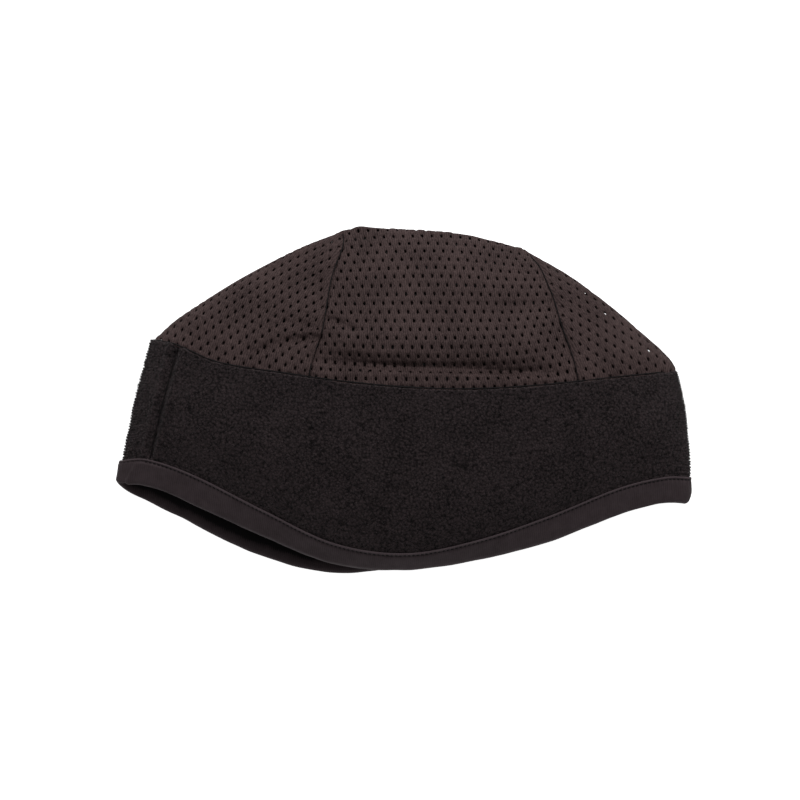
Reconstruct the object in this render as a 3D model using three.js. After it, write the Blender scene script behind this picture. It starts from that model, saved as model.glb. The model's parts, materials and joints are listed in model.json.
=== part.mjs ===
// A skull cap for cold weather, lying on its side as it is put down: a fleece band round the
// forehead, ears and nape, a bound hem along the band's lower edge, and a crown of perforated
// mesh cloth in three panels. Each piece of cloth is a thin wall, and the cap is hollow.
// Millimetres. X runs from the nape to the forehead, Y from the hem to the top of the crown,
// and Z up from the surface that the cap lies on.
import * as THREE from 'three';

// Thickness of each cloth, and how the layers are stacked from the outside of the cap inwards.
const FLEECE_THICK = 2.6;
const MESH_THICK = 1.0;
const MESH_SUNK = 0.5;
const BINDING_THICK = 0.8;
const PRESSED_THICK = 1.2;
const GAP = 0.3;

// How the inside of the crown's cloth leans: across the cap by the band, and soon down from the
// fold over the top.
const LEAN = { turn: 0.1, lessX: 0.45, topX: 0.3, moreY: 0.85, topY: 0.15 };

// Levels: millimetres of cloth up from the hem's edge, measured over the ear.
const HEM_TOP = 12;
const BAND_TOP = 90;
const CROWN_TOP = 175;

// Plan of the two folds, at the nape (left) and at the forehead (right).
const FOLD_PLAN = [
  { level: 0, napeX: -135.3, napeY: -37.9, browX: 134.6, browY: -48.2 },
  { level: HEM_TOP, napeX: -133.5, napeY: -28.3, browX: 134.9, browY: -36.1 },
  { level: 51, napeX: -127.0, napeY: -0.3, browX: 132.0, browY: -8.3 },
  { level: BAND_TOP, napeX: -119.2, napeY: 28.1, browX: 128.1, browY: 12.9 },
  { level: 97, napeX: -113.2, napeY: 32.8, browX: 124.2, browY: 20.4 },
  { level: 111, napeX: -98.2, napeY: 44.2, browX: 115.1, browY: 28.6 },
  { level: 132, napeX: -75.4, napeY: 58.3, browX: 97.9, browY: 43.2 },
  { level: 153, napeX: -50.5, napeY: 71.2, browX: 78.8, browY: 57.4 },
  { level: CROWN_TOP, napeX: -29.3, napeY: 79.7, browX: 58.6, browY: 69.7 },
];

// How far each level hangs below the straight line between its folds, at places given as shares
// of the way from nape to brow. The near layer lies on top, and the far layer on the surface.
const SAG_PLACES = [0.045, 0.125, 0.25, 0.375, 0.5, 0.625, 0.75, 0.875, 0.955];
const SAG = [
  {
    level: 0,
    near: [1.7, 9.5, 24.4, 35.6, 36.8, 30.6, 20.3, 6.5, 0.4],
    far: [8.0, 17.9, 32.2, 39.1, 34.8, 27.4, 17.7, 5.0, 0.2],
  },
  {
    level: HEM_TOP,
    near: [-1.1, 5.3, 21.9, 35.9, 39.3, 32.2, 20.0, 5.7, 0.2],
    far: [4.9, 14.7, 29.4, 37.2, 33.5, 26.5, 16.8, 4.7, 0.1],
  },
  {
    level: 51,
    near: [0.6, 7.2, 17.0, 25.5, 27.5, 23.5, 15.6, 5.6, 1.0],
    far: [4.4, 12.0, 21.5, 26.5, 24.5, 20.0, 13.3, 5.0, 0.8],
  },
  {
    level: BAND_TOP,
    near: [1.6, 8.7, 12.0, 14.4, 15.2, 13.8, 10.0, 4.8, 1.6],
    far: [3.2, 9.6, 13.2, 15.0, 15.0, 13.0, 9.5, 4.8, 1.6],
  },
  {
    level: 132,
    near: [1.2, 3.0, 4.5, 5.5, 5.5, 4.8, 3.2, 1.2, 0.5],
    far: [1.3, 3.5, 5.0, 5.5, 5.5, 4.6, 3.0, 1.2, 0.5],
  },
  {
    level: CROWN_TOP,
    near: [-1.1, -3.0, -3.8, -4.4, -4.9, -5.0, -4.1, -2.7, -1.3],
    far: [-1.1, -3.0, -3.8, -4.4, -4.9, -5.0, -4.1, -2.7, -1.3],
  },
];

// Height of the folds, rise of the near layer's middle above them, and the shape of its arch:
// a low shoulder and a high edge make the arch pointed, and 2 and 0.5 make half an ellipse.
const ARCH = [
  { level: 0, fold: 8.0, rise: 11.0, shoulder: 2.0, edge: 0.5 },
  { level: HEM_TOP, fold: 8.5, rise: 18.5, shoulder: 2.0, edge: 0.5 },
  { level: 30, fold: 8.5, rise: 24.3, shoulder: 2.0, edge: 0.5 },
  { level: 51, fold: 8.3, rise: 27.5, shoulder: 2.0, edge: 0.52 },
  { level: BAND_TOP, fold: 7.5, rise: 28.5, shoulder: 1.9, edge: 0.58 },
  { level: CROWN_TOP, fold: 4.0, rise: 28.5, shoulder: 1.7, edge: 0.72 },
];
const CROWN_FALL = { bend: 1.3, fold: 0.75 };
const FOLD_ROLL = 13;
const TOP_ROLL = 10;

// Panel seams of the crown, from the band up to the fold over the top, as plan points.
const NAPE_SEAM = [
  { y: 4.2, x: -46.1 },
  { y: 11.2, x: -45.1 },
  { y: 19.2, x: -43.5 },
  { y: 32.2, x: -39.0 },
  { y: 44.2, x: -36.8 },
  { y: 58.2, x: -34.4 },
  { y: 66.6, x: -31.6 },
  { y: 71.2, x: -29.8 },
  { y: 75.2, x: -28.9 },
  { y: 79.7, x: -29.3 },
];
const BROW_SEAM = [
  { y: 4.2, x: 83.1 },
  { y: 12.2, x: 81.4 },
  { y: 19.2, x: 79.7 },
  { y: 34.2, x: 74.4 },
  { y: 49.2, x: 70.0 },
  { y: 56.2, x: 67.2 },
  { y: 63.7, x: 63.7 },
  { y: 69.7, x: 58.6 },
];
const SEAM_TIP = 1.6;
const SEAM_PASSES = 40;

// Dents pressed into the near layer of the crown, each a valley between two plan points.
const DENTS = [
  { fromX: -37.4, fromY: 20.6, toX: -2.1, toY: 18.1, depth: 2.6, width: 3.2 },
  { fromX: -2.1, fromY: 18.1, toX: 35.5, toY: 15.3, depth: 2.6, width: 3.0 },
  { fromX: 35.5, fromY: 15.3, toX: 75.0, toY: 17.0, depth: 2.2, width: 3.0 },
  { fromX: -43.0, fromY: 29.6, toX: -70.0, toY: 22.6, depth: 1.6, width: 3.2 },
  { fromX: -36.0, fromY: 36.0, toX: -22.0, toY: 31.0, depth: 1.3, width: 3.0 },
  { fromX: 46.0, fromY: 41.5, toX: 66.0, toY: 44.5, depth: 1.4, width: 6.0 },
];

// The join of the band's two ends, a groove in the near layer beside the nape fold.
const JOIN = { share: 0.05, halfWidth: 0.006, clear: 0.012, depth: 0.9 };

// The wall of the band: where it stands on the hem, where its pressed edge ends inside the
// binding, and the levels at which it bends.
const BAND_FOOT = HEM_TOP + 0.6;
const TONGUE_FOOT = 1.6;
const EDGE_EASE = 0.1;
const BAND_LEVELS = [BAND_FOOT, 17, 24, 33, 45, 58, 72, 82, BAND_TOP - GAP / 2];

// The binding's rounded edge, half its height, and the floor of its channel.
const HEM_ROUND = { start: 1.6, turnLevel: 0.4, turnDepth: 0.6 };
const HEM_MIDDLE = 7;
const CHANNEL_FOOT = 1.1;

// Steps of the meshes round the head, across the panels and beside the folds.
const ROUND_STEPS = { near: 30, far: 12 };
const CENTRE_STEPS = 18;
const END_STEPS = { near: 8, far: 7, crowding: 1.7 };
const FOLD_STEPS = [13, 8, 4.5, 2.2, 0.8];

const NEAR = 'near';
const FAR = 'far';

const MATERIALS = {
  fleece: { color: 0x1c1a1c, roughness: 0.95, metalness: 0 },
  binding: { color: 0x2c2529, roughness: 0.75, metalness: 0 },
  mesh: { color: 0x3d3332, roughness: 0.7, metalness: 0 },
};

// Smooth curve through rising knots, by cubic steps with the slope of the neighbours.
function smooth(knots, values, at) {
  const last = knots.length - 1;
  const t = THREE.MathUtils.clamp(at, knots[0], knots[last]);
  let k = 0;
  while (k < last - 1 && t > knots[k + 1]) {
    k += 1;
  }
  const slope = (i) => {
    const a = Math.max(i - 1, 0);
    const b = Math.min(i + 1, last);
    return (values[b] - values[a]) / (knots[b] - knots[a]);
  };
  const span = knots[k + 1] - knots[k];
  const u = (t - knots[k]) / span;
  const v = 1 - u;
  return (
    values[k] * (1 + 2 * u) * v * v +
    values[k + 1] * (1 + 2 * v) * u * u +
    span * (slope(k) * u * v * v - slope(k + 1) * v * u * u)
  );
}

// One named column of a table at a level. The band and the crown meet at a corner there, so
// each reads only its own rows.
function column(table, name, level) {
  const rows = table.filter((row) =>
    level <= BAND_TOP ? row.level <= BAND_TOP : row.level >= BAND_TOP,
  );
  return smooth(
    rows.map((row) => row.level),
    rows.map((row) => row[name]),
    level,
  );
}

// Share of the crown's height: 0 on the band and at its top seam, 1 at the fold over the top.
function crownShare(level) {
  return Math.max(0, (level - BAND_TOP) / (CROWN_TOP - BAND_TOP));
}

// Plan position of the two folds at a level, on the cap's outer face.
function folds(level) {
  return {
    napeX: column(FOLD_PLAN, 'napeX', level),
    napeY: column(FOLD_PLAN, 'napeY', level),
    browX: column(FOLD_PLAN, 'browX', level),
    browY: column(FOLD_PLAN, 'browY', level),
  };
}

// Sag of a level at a share of the way from nape to brow.
function sagAt(side, share, level) {
  const rows = SAG.filter((row) =>
    level <= BAND_TOP ? row.level <= BAND_TOP : row.level >= BAND_TOP,
  );
  const levels = rows.map((row) => row.level);
  const values = SAG_PLACES.map((_, i) => smooth(levels, rows.map((row) => row[side][i]), level));
  return smooth([0, ...SAG_PLACES, 1], [0, ...values, 0], share);
}

// Depth of the dents in the near layer at a plan point.
function dentAt(x, y) {
  let depth = 0;
  for (const dent of DENTS) {
    const alongX = dent.toX - dent.fromX;
    const alongY = dent.toY - dent.fromY;
    const length = Math.hypot(alongX, alongY);
    const t = ((x - dent.fromX) * alongX + (y - dent.fromY) * alongY) / (length * length);
    const across = ((x - dent.fromX) * alongY - (y - dent.fromY) * alongX) / length;
    const past = Math.max(-t, t - 1, 0) * length;
    depth = Math.max(depth, dent.depth * Math.exp(-((across ** 2 + past ** 2) / dent.width ** 2)));
  }
  return depth;
}

// A point of the cap: on the near or far layer, at a share of the way from nape to brow, at a
// level up the cloth, and at a depth inside the outer face.
function capPoint(side, share, level, depth) {
  const f = folds(level);
  const crown = crownShare(level);
  const turn = THREE.MathUtils.smoothstep(crown, 0, LEAN.turn);
  const inX = depth * (1 - LEAN.lessX * turn - LEAN.topX * crown);
  const inY = depth * (LEAN.moreY * turn + LEAN.topY * crown);
  const x = THREE.MathUtils.lerp(f.napeX + inX, f.browX - inX, share);
  const place = (x - f.napeX) / (f.browX - f.napeX);
  const y = THREE.MathUtils.lerp(f.napeY, f.browY, place) - sagAt(side, place, level) - inY;
  const fold = column(ARCH, 'fold', level);
  if (side === NEAR) {
    const fall = (1 - crown ** CROWN_FALL.bend) ** CROWN_FALL.fold;
    const rise = (column(ARCH, 'rise', level) - depth) * fall;
    const across = Math.abs(2 * share - 1) ** column(ARCH, 'shoulder', level);
    const arch = Math.max(0, 1 - across) ** column(ARCH, 'edge', level);
    const dent = level > BAND_TOP ? dentAt(x, y) * arch : 0;
    return new THREE.Vector3(x, y, fold + rise * arch - dent);
  }
  const reach = (f.browX - f.napeX) * Math.min(share, 1 - share);
  const roll = (distance, size) => Math.sqrt(1 - (1 - Math.min(1, distance / size)) ** 2);
  const flat = roll(reach, FOLD_ROLL) * roll(CROWN_TOP - level, TOP_ROLL);
  return new THREE.Vector3(x, y, depth + (fold - depth) * (1 - flat));
}

// Share of the way across at which a seam crosses a level.
function seamShare(seam, side, level) {
  const heights = seam.map((row) => row.y);
  const places = seam.map((row) => row.x);
  const f = folds(level);
  let share = 0.5;
  for (let step = 0; step < SEAM_PASSES; step += 1) {
    const y = capPoint(side, share, level, 0).y;
    const wanted = (smooth(heights, places, y) - f.napeX) / (f.browX - f.napeX);
    share = 0.5 * (share + THREE.MathUtils.clamp(wanted, 0, 1));
  }
  return share;
}

function width(level) {
  const f = folds(level);
  return f.browX - f.napeX;
}

// Even steps that crowd together at one or both ends of a stretch.
function crowdBoth(from, to, count) {
  return Array.from({ length: count + 1 }, (_, i) =>
    THREE.MathUtils.lerp(from, to, 0.5 - 0.5 * Math.cos((Math.PI * i) / count)),
  );
}

function crowdStart(from, to, count) {
  const share = (i) => (i / count) ** END_STEPS.crowding;
  return Array.from({ length: count + 1 }, (_, i) => THREE.MathUtils.lerp(from, to, share(i)));
}

function even(from, to, count) {
  return Array.from({ length: count + 1 }, (_, i) => THREE.MathUtils.lerp(from, to, i / count));
}

// A closed mesh over a grid of points: rows and columns that may each run round in a loop.
function gridMesh(name, grid, look) {
  const rows = grid.length;
  const columns = grid[0].length;
  const positions = grid.flat().flatMap((p) => [p.x, p.y, p.z]);
  const index = [];
  for (let r = 0; r < rows; r += 1) {
    for (let c = 0; c < columns; c += 1) {
      const a = r * columns + c;
      const b = r * columns + ((c + 1) % columns);
      const d = ((r + 1) % rows) * columns + c;
      const e = ((r + 1) % rows) * columns + ((c + 1) % columns);
      index.push(a, b, e, a, e, d);
    }
  }
  return solidMesh(name, positions, index, look);
}

// A mesh whose faces are turned to point out of the body they enclose.
function solidMesh(name, positions, index, look) {
  const corner = (i) => new THREE.Vector3().fromArray(positions, 3 * index[i]);
  let volume = 0;
  for (let i = 0; i < index.length; i += 3) {
    volume += corner(i).dot(corner(i + 1).cross(corner(i + 2)));
  }
  if (volume < 0) {
    index.reverse();
  }
  const geometry = new THREE.BufferGeometry();
  geometry.setAttribute('position', new THREE.Float32BufferAttribute(positions, 3));
  geometry.setIndex(index);
  geometry.computeVertexNormals();
  const mesh = new THREE.Mesh(geometry, new THREE.MeshStandardMaterial(MATERIALS[look]));
  mesh.name = name;
  return mesh;
}

// A wall of cloth with four free edges: an outer and an inner grid, joined round the rim.
function wallMesh(name, outer, inner, look) {
  const rows = outer.length;
  const columns = outer[0].length;
  const positions = [...outer.flat(), ...inner.flat()].flatMap((p) => [p.x, p.y, p.z]);
  const at = (layer, r, c) => layer * rows * columns + r * columns + c;
  const index = [];
  const quad = (a, b, c, d) => index.push(a, b, c, a, c, d);
  for (let r = 0; r < rows - 1; r += 1) {
    for (let c = 0; c < columns - 1; c += 1) {
      quad(at(0, r, c), at(0, r, c + 1), at(0, r + 1, c + 1), at(0, r + 1, c));
      quad(at(1, r, c), at(1, r + 1, c), at(1, r + 1, c + 1), at(1, r, c + 1));
    }
  }
  for (let c = 0; c < columns - 1; c += 1) {
    quad(at(0, 0, c), at(1, 0, c), at(1, 0, c + 1), at(0, 0, c + 1));
    quad(at(0, rows - 1, c), at(0, rows - 1, c + 1), at(1, rows - 1, c + 1), at(1, rows - 1, c));
  }
  const end = columns - 1;
  for (let r = 0; r < rows - 1; r += 1) {
    quad(at(0, r, 0), at(0, r + 1, 0), at(1, r + 1, 0), at(1, r, 0));
    quad(at(0, r, end), at(1, r, end), at(1, r + 1, end), at(0, r + 1, end));
  }
  return solidMesh(name, positions, index, look);
}

// Places round a whole level, from the nape fold over the near layer and back under it.
function roundTheHead(level) {
  const rolled = FOLD_STEPS.map((distance) => distance / width(level));
  const clearOfJoin = (share) => Math.abs(share - JOIN.share) > JOIN.clear;
  const near = crowdBoth(0, 1, ROUND_STEPS.near).filter(clearOfJoin);
  near.push(JOIN.share - JOIN.halfWidth, JOIN.share, JOIN.share + JOIN.halfWidth);
  near.sort((a, b) => a - b);
  const far = [
    ...[...rolled].reverse().map((share) => 1 - share),
    ...even(1 - rolled[0], rolled[0], ROUND_STEPS.far).slice(1, -1),
    ...rolled,
  ];
  return [
    ...near.map((share) => ({ side: NEAR, share })),
    ...far.map((share) => ({ side: FAR, share })),
  ];
}

// The fleece band: one strip joined behind, thick above the hem and pressed thin inside it.
function fleeceBand() {
  const pressedOuter = BINDING_THICK + GAP;
  const pressedInner = pressedOuter + PRESSED_THICK;
  const section = [
    { level: TONGUE_FOOT, depth: pressedOuter },
    { level: HEM_TOP + EDGE_EASE, depth: pressedOuter },
    ...BAND_LEVELS.map((level) => ({ level, depth: 0 })),
    ...[...BAND_LEVELS].reverse().map((level) => ({ level, depth: FLEECE_THICK })),
    { level: HEM_TOP + EDGE_EASE, depth: pressedInner },
    { level: TONGUE_FOOT, depth: pressedInner },
  ];
  const grid = section.map(({ level, depth }) =>
    roundTheHead(level).map(({ side, share }) => {
      const joined = side === NEAR && share === JOIN.share && depth === 0 ? JOIN.depth : 0;
      return capPoint(side, share, level, depth + joined);
    }),
  );
  return gridMesh('fleece_band', grid, 'fleece');
}

// The binding: a strip of smooth jersey folded round the band's lower edge.
function hemBinding() {
  const inner = 2 * (BINDING_THICK + GAP) + PRESSED_THICK;
  const middle = inner / 2;
  const top = HEM_TOP - EDGE_EASE;
  const { start, turnLevel, turnDepth } = HEM_ROUND;
  const section = [
    { level: top, depth: EDGE_EASE },
    { level: HEM_MIDDLE, depth: 0 },
    { level: start, depth: 0 },
    { level: turnLevel, depth: turnDepth },
    { level: 0, depth: middle },
    { level: turnLevel, depth: inner - turnDepth },
    { level: start, depth: inner },
    { level: HEM_MIDDLE, depth: inner },
    { level: top, depth: inner - EDGE_EASE },
    { level: top, depth: inner - BINDING_THICK },
    { level: CHANNEL_FOOT, depth: inner - BINDING_THICK },
    { level: CHANNEL_FOOT, depth: BINDING_THICK },
    { level: top, depth: BINDING_THICK },
  ];
  const grid = section.map(({ level, depth }) =>
    roundTheHead(level).map(({ side, share }) => capPoint(side, share, level, depth)),
  );
  return gridMesh('hem_binding', grid, 'binding');
}

// One layer of mesh cloth over a grid of places on the cap.
function meshPanel(name, places) {
  const layer = (depth) =>
    places.map((row) => row.map(({ side, share, level }) => capPoint(side, share, level, depth)));
  return wallMesh(name, layer(MESH_SUNK), layer(MESH_SUNK + MESH_THICK), 'mesh');
}

// Levels at which the crown's cloth bends, closest over the dents and at the fold on top.
const CROWN_LEVELS = [
  BAND_TOP + GAP, 93, 95.5, 98, 100, 102, 104.5, 108, 114, 122, 131, 141, 151, 160, 167, 171.5,
  CROWN_TOP - SEAM_TIP,
];

// The centre panel: a strip from one ear over the top of the head to the other ear.
function centrePanel() {
  const row = (side, level) => {
    const half = GAP / 2 / width(level);
    const left = seamShare(NAPE_SEAM, side, level) + half;
    const right = seamShare(BROW_SEAM, side, level) - half;
    return even(left, right, CENTRE_STEPS).map((share) => ({ side, share, level }));
  };
  return meshPanel('crown_centre_panel', [
    ...CROWN_LEVELS.map((level) => row(NEAR, level)),
    row(NEAR, CROWN_TOP),
    ...[...CROWN_LEVELS].reverse().map((level) => row(FAR, level)),
  ]);
}

// An end panel: it wraps round one fold, from its seam on the far layer to the near one, and
// narrows to a small tip at the top.
function endPanel(name, seam, foldShare) {
  const inward = foldShare === 0 ? -1 : 1;
  const places = CROWN_LEVELS.map((level) => {
    const half = (inward * GAP) / 2 / width(level);
    const farSeam = seamShare(seam, FAR, level) + half;
    const nearSeam = seamShare(seam, NEAR, level) + half;
    const far = crowdStart(foldShare, farSeam, END_STEPS.far).reverse();
    const near = crowdStart(foldShare, nearSeam, END_STEPS.near).slice(1);
    return [
      ...far.map((share) => ({ side: FAR, share, level })),
      ...near.map((share) => ({ side: NEAR, share, level })),
    ];
  });
  return meshPanel(name, places);
}

const cap = new THREE.Group();
cap.add(
  fleeceBand(),
  hemBinding(),
  centrePanel(),
  endPanel('crown_nape_panel', NAPE_SEAM, 0),
  endPanel('crown_brow_panel', BROW_SEAM, 1),
);

export default cap;
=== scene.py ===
import json
import math
from functools import lru_cache

import bpy
import numpy as np
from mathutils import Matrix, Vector, noise
from mathutils.bvhtree import BVHTree
from mathutils.geometry import delaunay_2d_cdt


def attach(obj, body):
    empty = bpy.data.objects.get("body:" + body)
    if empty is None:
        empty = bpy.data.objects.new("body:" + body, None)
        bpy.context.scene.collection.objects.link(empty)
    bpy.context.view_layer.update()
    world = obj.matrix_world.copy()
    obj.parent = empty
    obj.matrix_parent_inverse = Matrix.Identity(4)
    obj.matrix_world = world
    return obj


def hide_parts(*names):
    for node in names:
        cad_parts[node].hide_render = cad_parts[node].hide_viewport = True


# A skull cap lying on its side: a fleece band, a bound hem, and a crown of eyelet mesh cloth in
# three panels. Lengths of cloth are in millimetres until a piece is made, which is in metres.
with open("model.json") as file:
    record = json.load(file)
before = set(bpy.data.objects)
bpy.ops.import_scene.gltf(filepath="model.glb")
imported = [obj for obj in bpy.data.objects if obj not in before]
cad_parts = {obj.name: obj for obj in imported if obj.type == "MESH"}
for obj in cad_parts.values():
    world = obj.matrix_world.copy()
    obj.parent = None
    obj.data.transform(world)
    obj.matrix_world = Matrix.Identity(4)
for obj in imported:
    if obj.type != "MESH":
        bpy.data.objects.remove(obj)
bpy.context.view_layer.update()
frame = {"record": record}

bl_info = {
    "name": "Skull Cap Maker",
    "version": (1, 0, 0),
    "blender": (4, 5, 0),
    "location": "3D View > Sidebar > Cap",
    "description": "Builds a skull cap with a fleece band and an eyelet mesh crown, lying on its side",
    "category": "Object",
}

MM = 0.001

# Levels of the cloth, in millimetres up from the edge of the hem, measured over the ear.
HEM_TOP = 12.0
BAND_TOP = 90.0
CROWN_TOP = 175.0

# Thickness of each cloth, how deep the mesh lies inside the cap's outer face, and the depths of
# the binding's inner side and of the two sides of the fleece tongue that it holds.
FLEECE_THICK = 2.6
MESH_SUNK = 0.5
BINDING_THICK = 0.8
BINDING_INNER = 3.4
TONGUE = (1.1, 2.3)

# Least height of the cloth above the surface that the cap lies on.
FLOOR_ROOM = 0.02

# Plan of the two folds, at the nape and at the brow.
FOLD_PLAN = {
    "level": (0, 12, 51, 90, 97, 111, 132, 153, 175),
    "nape_x": (-135.3, -133.5, -127.0, -119.2, -113.2, -98.2, -75.4, -50.5, -29.3),
    "nape_y": (-37.9, -28.3, -0.3, 28.1, 32.8, 44.2, 58.3, 71.2, 79.7),
    "brow_x": (134.6, 134.9, 132.0, 128.1, 124.2, 115.1, 97.9, 78.8, 58.6),
    "brow_y": (-48.2, -36.1, -8.3, 12.9, 20.4, 28.8, 43.6, 57.9, 69.7),
}

# How far each level hangs below the straight line between its folds, at places given as shares
# of the way from nape to brow. The near layer lies on top, and the far layer on the surface.
SAG_PLACES = (0.045, 0.125, 0.25, 0.375, 0.5, 0.625, 0.75, 0.875, 0.955)
SAG_LEVELS = (0, 12, 51, 90, 132, 175)
SAG = {
    "near": (
        (0.6, 8.9, 23.0, 34.9, 36.8, 30.6, 20.3, 6.5, 0.4),
        (-1.1, 5.3, 21.0, 35.6, 39.3, 32.2, 20.0, 5.7, 0.2),
        (0.6, 7.2, 17.0, 25.5, 27.5, 23.5, 15.6, 5.6, 1.0),
        (1.6, 8.7, 12.0, 14.4, 15.2, 13.8, 10.0, 4.8, 1.6),
        (1.2, 3.0, 4.5, 5.5, 5.5, 4.8, 3.2, 1.2, 0.5),
        (-1.1, -3.0, -3.8, -4.4, -4.9, -5.0, -4.1, -2.7, -1.3),
    ),
    "far": (
        (8.0, 17.9, 32.2, 39.1, 34.8, 27.4, 17.7, 5.0, 0.2),
        (4.9, 14.7, 29.4, 37.2, 33.5, 26.5, 16.8, 4.7, 0.1),
        (4.4, 12.0, 21.5, 26.5, 24.5, 20.0, 13.3, 5.0, 0.8),
        (3.2, 9.6, 13.2, 15.0, 15.0, 13.0, 9.5, 4.8, 1.6),
        (1.3, 3.5, 5.0, 5.5, 5.5, 4.6, 3.0, 1.2, 0.5),
        (-1.1, -3.0, -3.8, -4.4, -4.9, -5.0, -4.1, -2.7, -1.3),
    ),
}

# Height of the folds, rise of the near layer's middle above them, and the shape of its arch.
ARCH = {
    "level": (0, 12, 30, 51, 90, 175),
    "fold": (8.0, 8.5, 8.5, 8.3, 7.5, 4.0),
    "rise": (11.0, 18.5, 24.3, 27.5, 28.5, 28.5),
    "shoulder": (2.0, 2.0, 2.0, 2.0, 1.9, 1.7),
    "edge": (0.5, 0.5, 0.5, 0.52, 0.58, 0.72),
}

# How the rise falls away up the crown, and how far from the folds and from the top the far layer
# comes down to the surface.
FALL_BEND, FALL_FOLD = 1.3, 0.75
FOLD_ROLL, TOP_ROLL = 13.0, 10.0

# How a depth moves a point in: along x in the band, less so in the crown, and there along y too.
# The first share comes in just above the band, and the second grows up to the top.
TURN_SHARE = 0.1
LESS_IN_X, MORE_IN_Y = (0.45, 0.3), (0.85, 0.15)

# Panel seams of the crown, from the band up to the fold over the top, as plan points, and the
# rounds in which their places on the cloth are found.
SEAM_PASSES = 40
SEAMS = {
    "nape": {
        "y": (4.2, 11.2, 19.2, 32.2, 44.2, 58.2, 66.6, 71.2, 75.2, 79.7),
        "x": (-46.1, -45.1, -43.5, -39.0, -36.8, -34.4, -31.6, -29.8, -28.9, -29.3),
    },
    "brow": {
        "y": (4.2, 12.2, 19.2, 34.2, 49.2, 56.2, 63.7, 69.7),
        "x": (83.1, 81.4, 79.7, 74.4, 70.0, 67.2, 63.7, 58.6),
    },
}

# The deep crease of the near layer, where the soft mesh sinks beside the stiff seam above the
# band: its path in plan, and its shape above and below that path.
CREASE_X = (-44.0, -37.4, -25.6, -2.1, 16.7, 35.5, 53.3, 63.7, 75.0, 84.0)
CREASE_Y = (19.0, 18.7, 17.8, 15.8, 15.0, 14.4, 13.5, 13.1, 12.8, 12.6)
CREASE = {"depth": 4.5, "fade": 7.2, "wall": 3.6, "left": (-52.0, -20.0), "right": (52.0, 86.0)}
SWELL = {"height": 1.4, "above": 13.0, "width": 5.5}

# Soft dents in the near layer of the crown: from x, y to x, y, depth and width.
DENTS = (
    (-40.4, 29.2, -55.7, 27.7, 2.5, 1.8),
    (-55.7, 27.7, -71.7, 22.3, 1.9, 2.2),
    (-41.6, 34.2, -56.0, 37.0, 1.2, 1.9),
    (-40.4, 56.5, -40.4, 45.1, 1.8, 2.8),
    (-35.0, 38.2, -23.0, 32.8, 2.2, 1.6),
    (46.0, 43.4, 68.0, 43.4, 1.6, 4.6),
)

# The join of the band's two ends, in the near layer beside the nape fold.
JOIN_SHARE = 0.05
JOIN_DEPTH, JOIN_WIDTH = 2.3, 1.3


def slot_colour(slot):
    """The record's base colour of a material slot."""
    return next(m["base_color"] for m in frame["record"]["materials"] if m["slot"] == slot)


# Settings that a user would change.

COLOUR = {"subtype": "COLOR", "size": 3, "min": 0, "max": 1}
LENGTH = {"unit": "LENGTH", "subtype": "DISTANCE"}


class CapFleece(bpy.types.PropertyGroup):
    """Sizes and colour of the fleece."""

    colour: bpy.props.FloatVectorProperty(
        name="Fleece Colour",
        description="Colour of the fleece and its pile",
        default=slot_colour("fleece"),
        **COLOUR,
    )
    pile_length: bpy.props.FloatProperty(
        name="Pile Length",
        description="Length of one fibre of the brushed pile",
        default=0.0013,
        **LENGTH,
    )
    pile_count: bpy.props.IntProperty(
        name="Pile Count",
        description="Fibres on each of the band's two layers",
        default=45000,
        min=0,
    )


class CapMeshCloth(bpy.types.PropertyGroup):
    """Sizes and colour of the eyelet mesh."""

    colour: bpy.props.FloatVectorProperty(
        name="Mesh Colour",
        description="Colour of the knitted mesh cloth",
        default=slot_colour("mesh_cloth"),
        **COLOUR,
    )
    thickness: bpy.props.FloatProperty(
        name="Mesh Thickness",
        description="Thickness of the mesh cloth",
        default=0.0006,
        **LENGTH,
    )
    eyelet_width: bpy.props.FloatProperty(
        name="Eyelet Width",
        description="Width of one eyelet",
        default=0.00122,
        **LENGTH,
    )
    eyelet_length: bpy.props.FloatProperty(
        name="Eyelet Length",
        description="Length of one eyelet along the wales",
        default=0.00215,
        **LENGTH,
    )


class CapBinding(bpy.types.PropertyGroup):
    """Sizes and colour of the hem binding."""

    colour: bpy.props.FloatVectorProperty(
        name="Binding Colour",
        description="Colour of the jersey that binds the hem",
        default=slot_colour("binding"),
        **COLOUR,
    )
    stitch_length: bpy.props.FloatProperty(
        name="Stitch Length",
        description="Distance from one stitch of the hem to the next",
        default=0.00205,
        **LENGTH,
    )
    thread_width: bpy.props.FloatProperty(
        name="Thread Width",
        description="Width of the sewing thread",
        default=0.00056,
        **LENGTH,
    )


class CapStage(bpy.types.PropertyGroup):
    """Light and camera."""

    camera_height: bpy.props.FloatProperty(
        name="Camera Height",
        description="Height of the camera above the surface that the cap lies on",
        default=3.0,
        **LENGTH,
    )
    frame_width: bpy.props.FloatProperty(
        name="Frame Width",
        description="Width of the picture at the cap's height",
        default=0.376,
        **LENGTH,
    )
    floor_colour: bpy.props.FloatVectorProperty(
        name="Floor Colour",
        description="Colour of the floor",
        default=(0.86, 0.86, 0.86),
        **COLOUR,
    )
    floor_glow: bpy.props.FloatProperty(
        name="Floor Glow",
        description="Light that the floor gives out, as a lit table does",
        default=0.9,
    )
    sky_strength: bpy.props.FloatProperty(
        name="Sky Strength",
        description="Strength of the even light from all round",
        default=0.3,
    )
    key_power: bpy.props.FloatProperty(
        name="Key Power",
        description="Power of the light behind the crown",
        unit="POWER",
        default=27.0,
    )
    fill_power: bpy.props.FloatProperty(
        name="Fill Power",
        description="Power of the light beyond the nape",
        unit="POWER",
        default=5.0,
    )


# Shape of the cap.


def smoothstep(value, low, high):
    """Rises smoothly from 0 at low to 1 at high."""
    t = np.clip((value - low) / (high - low), 0, 1)
    return t * t * (3 - 2 * t)


def bell(distance, width):
    """Falls smoothly from 1 to 0 away from a place."""
    return np.exp(-((distance / width) ** 2))


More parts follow.
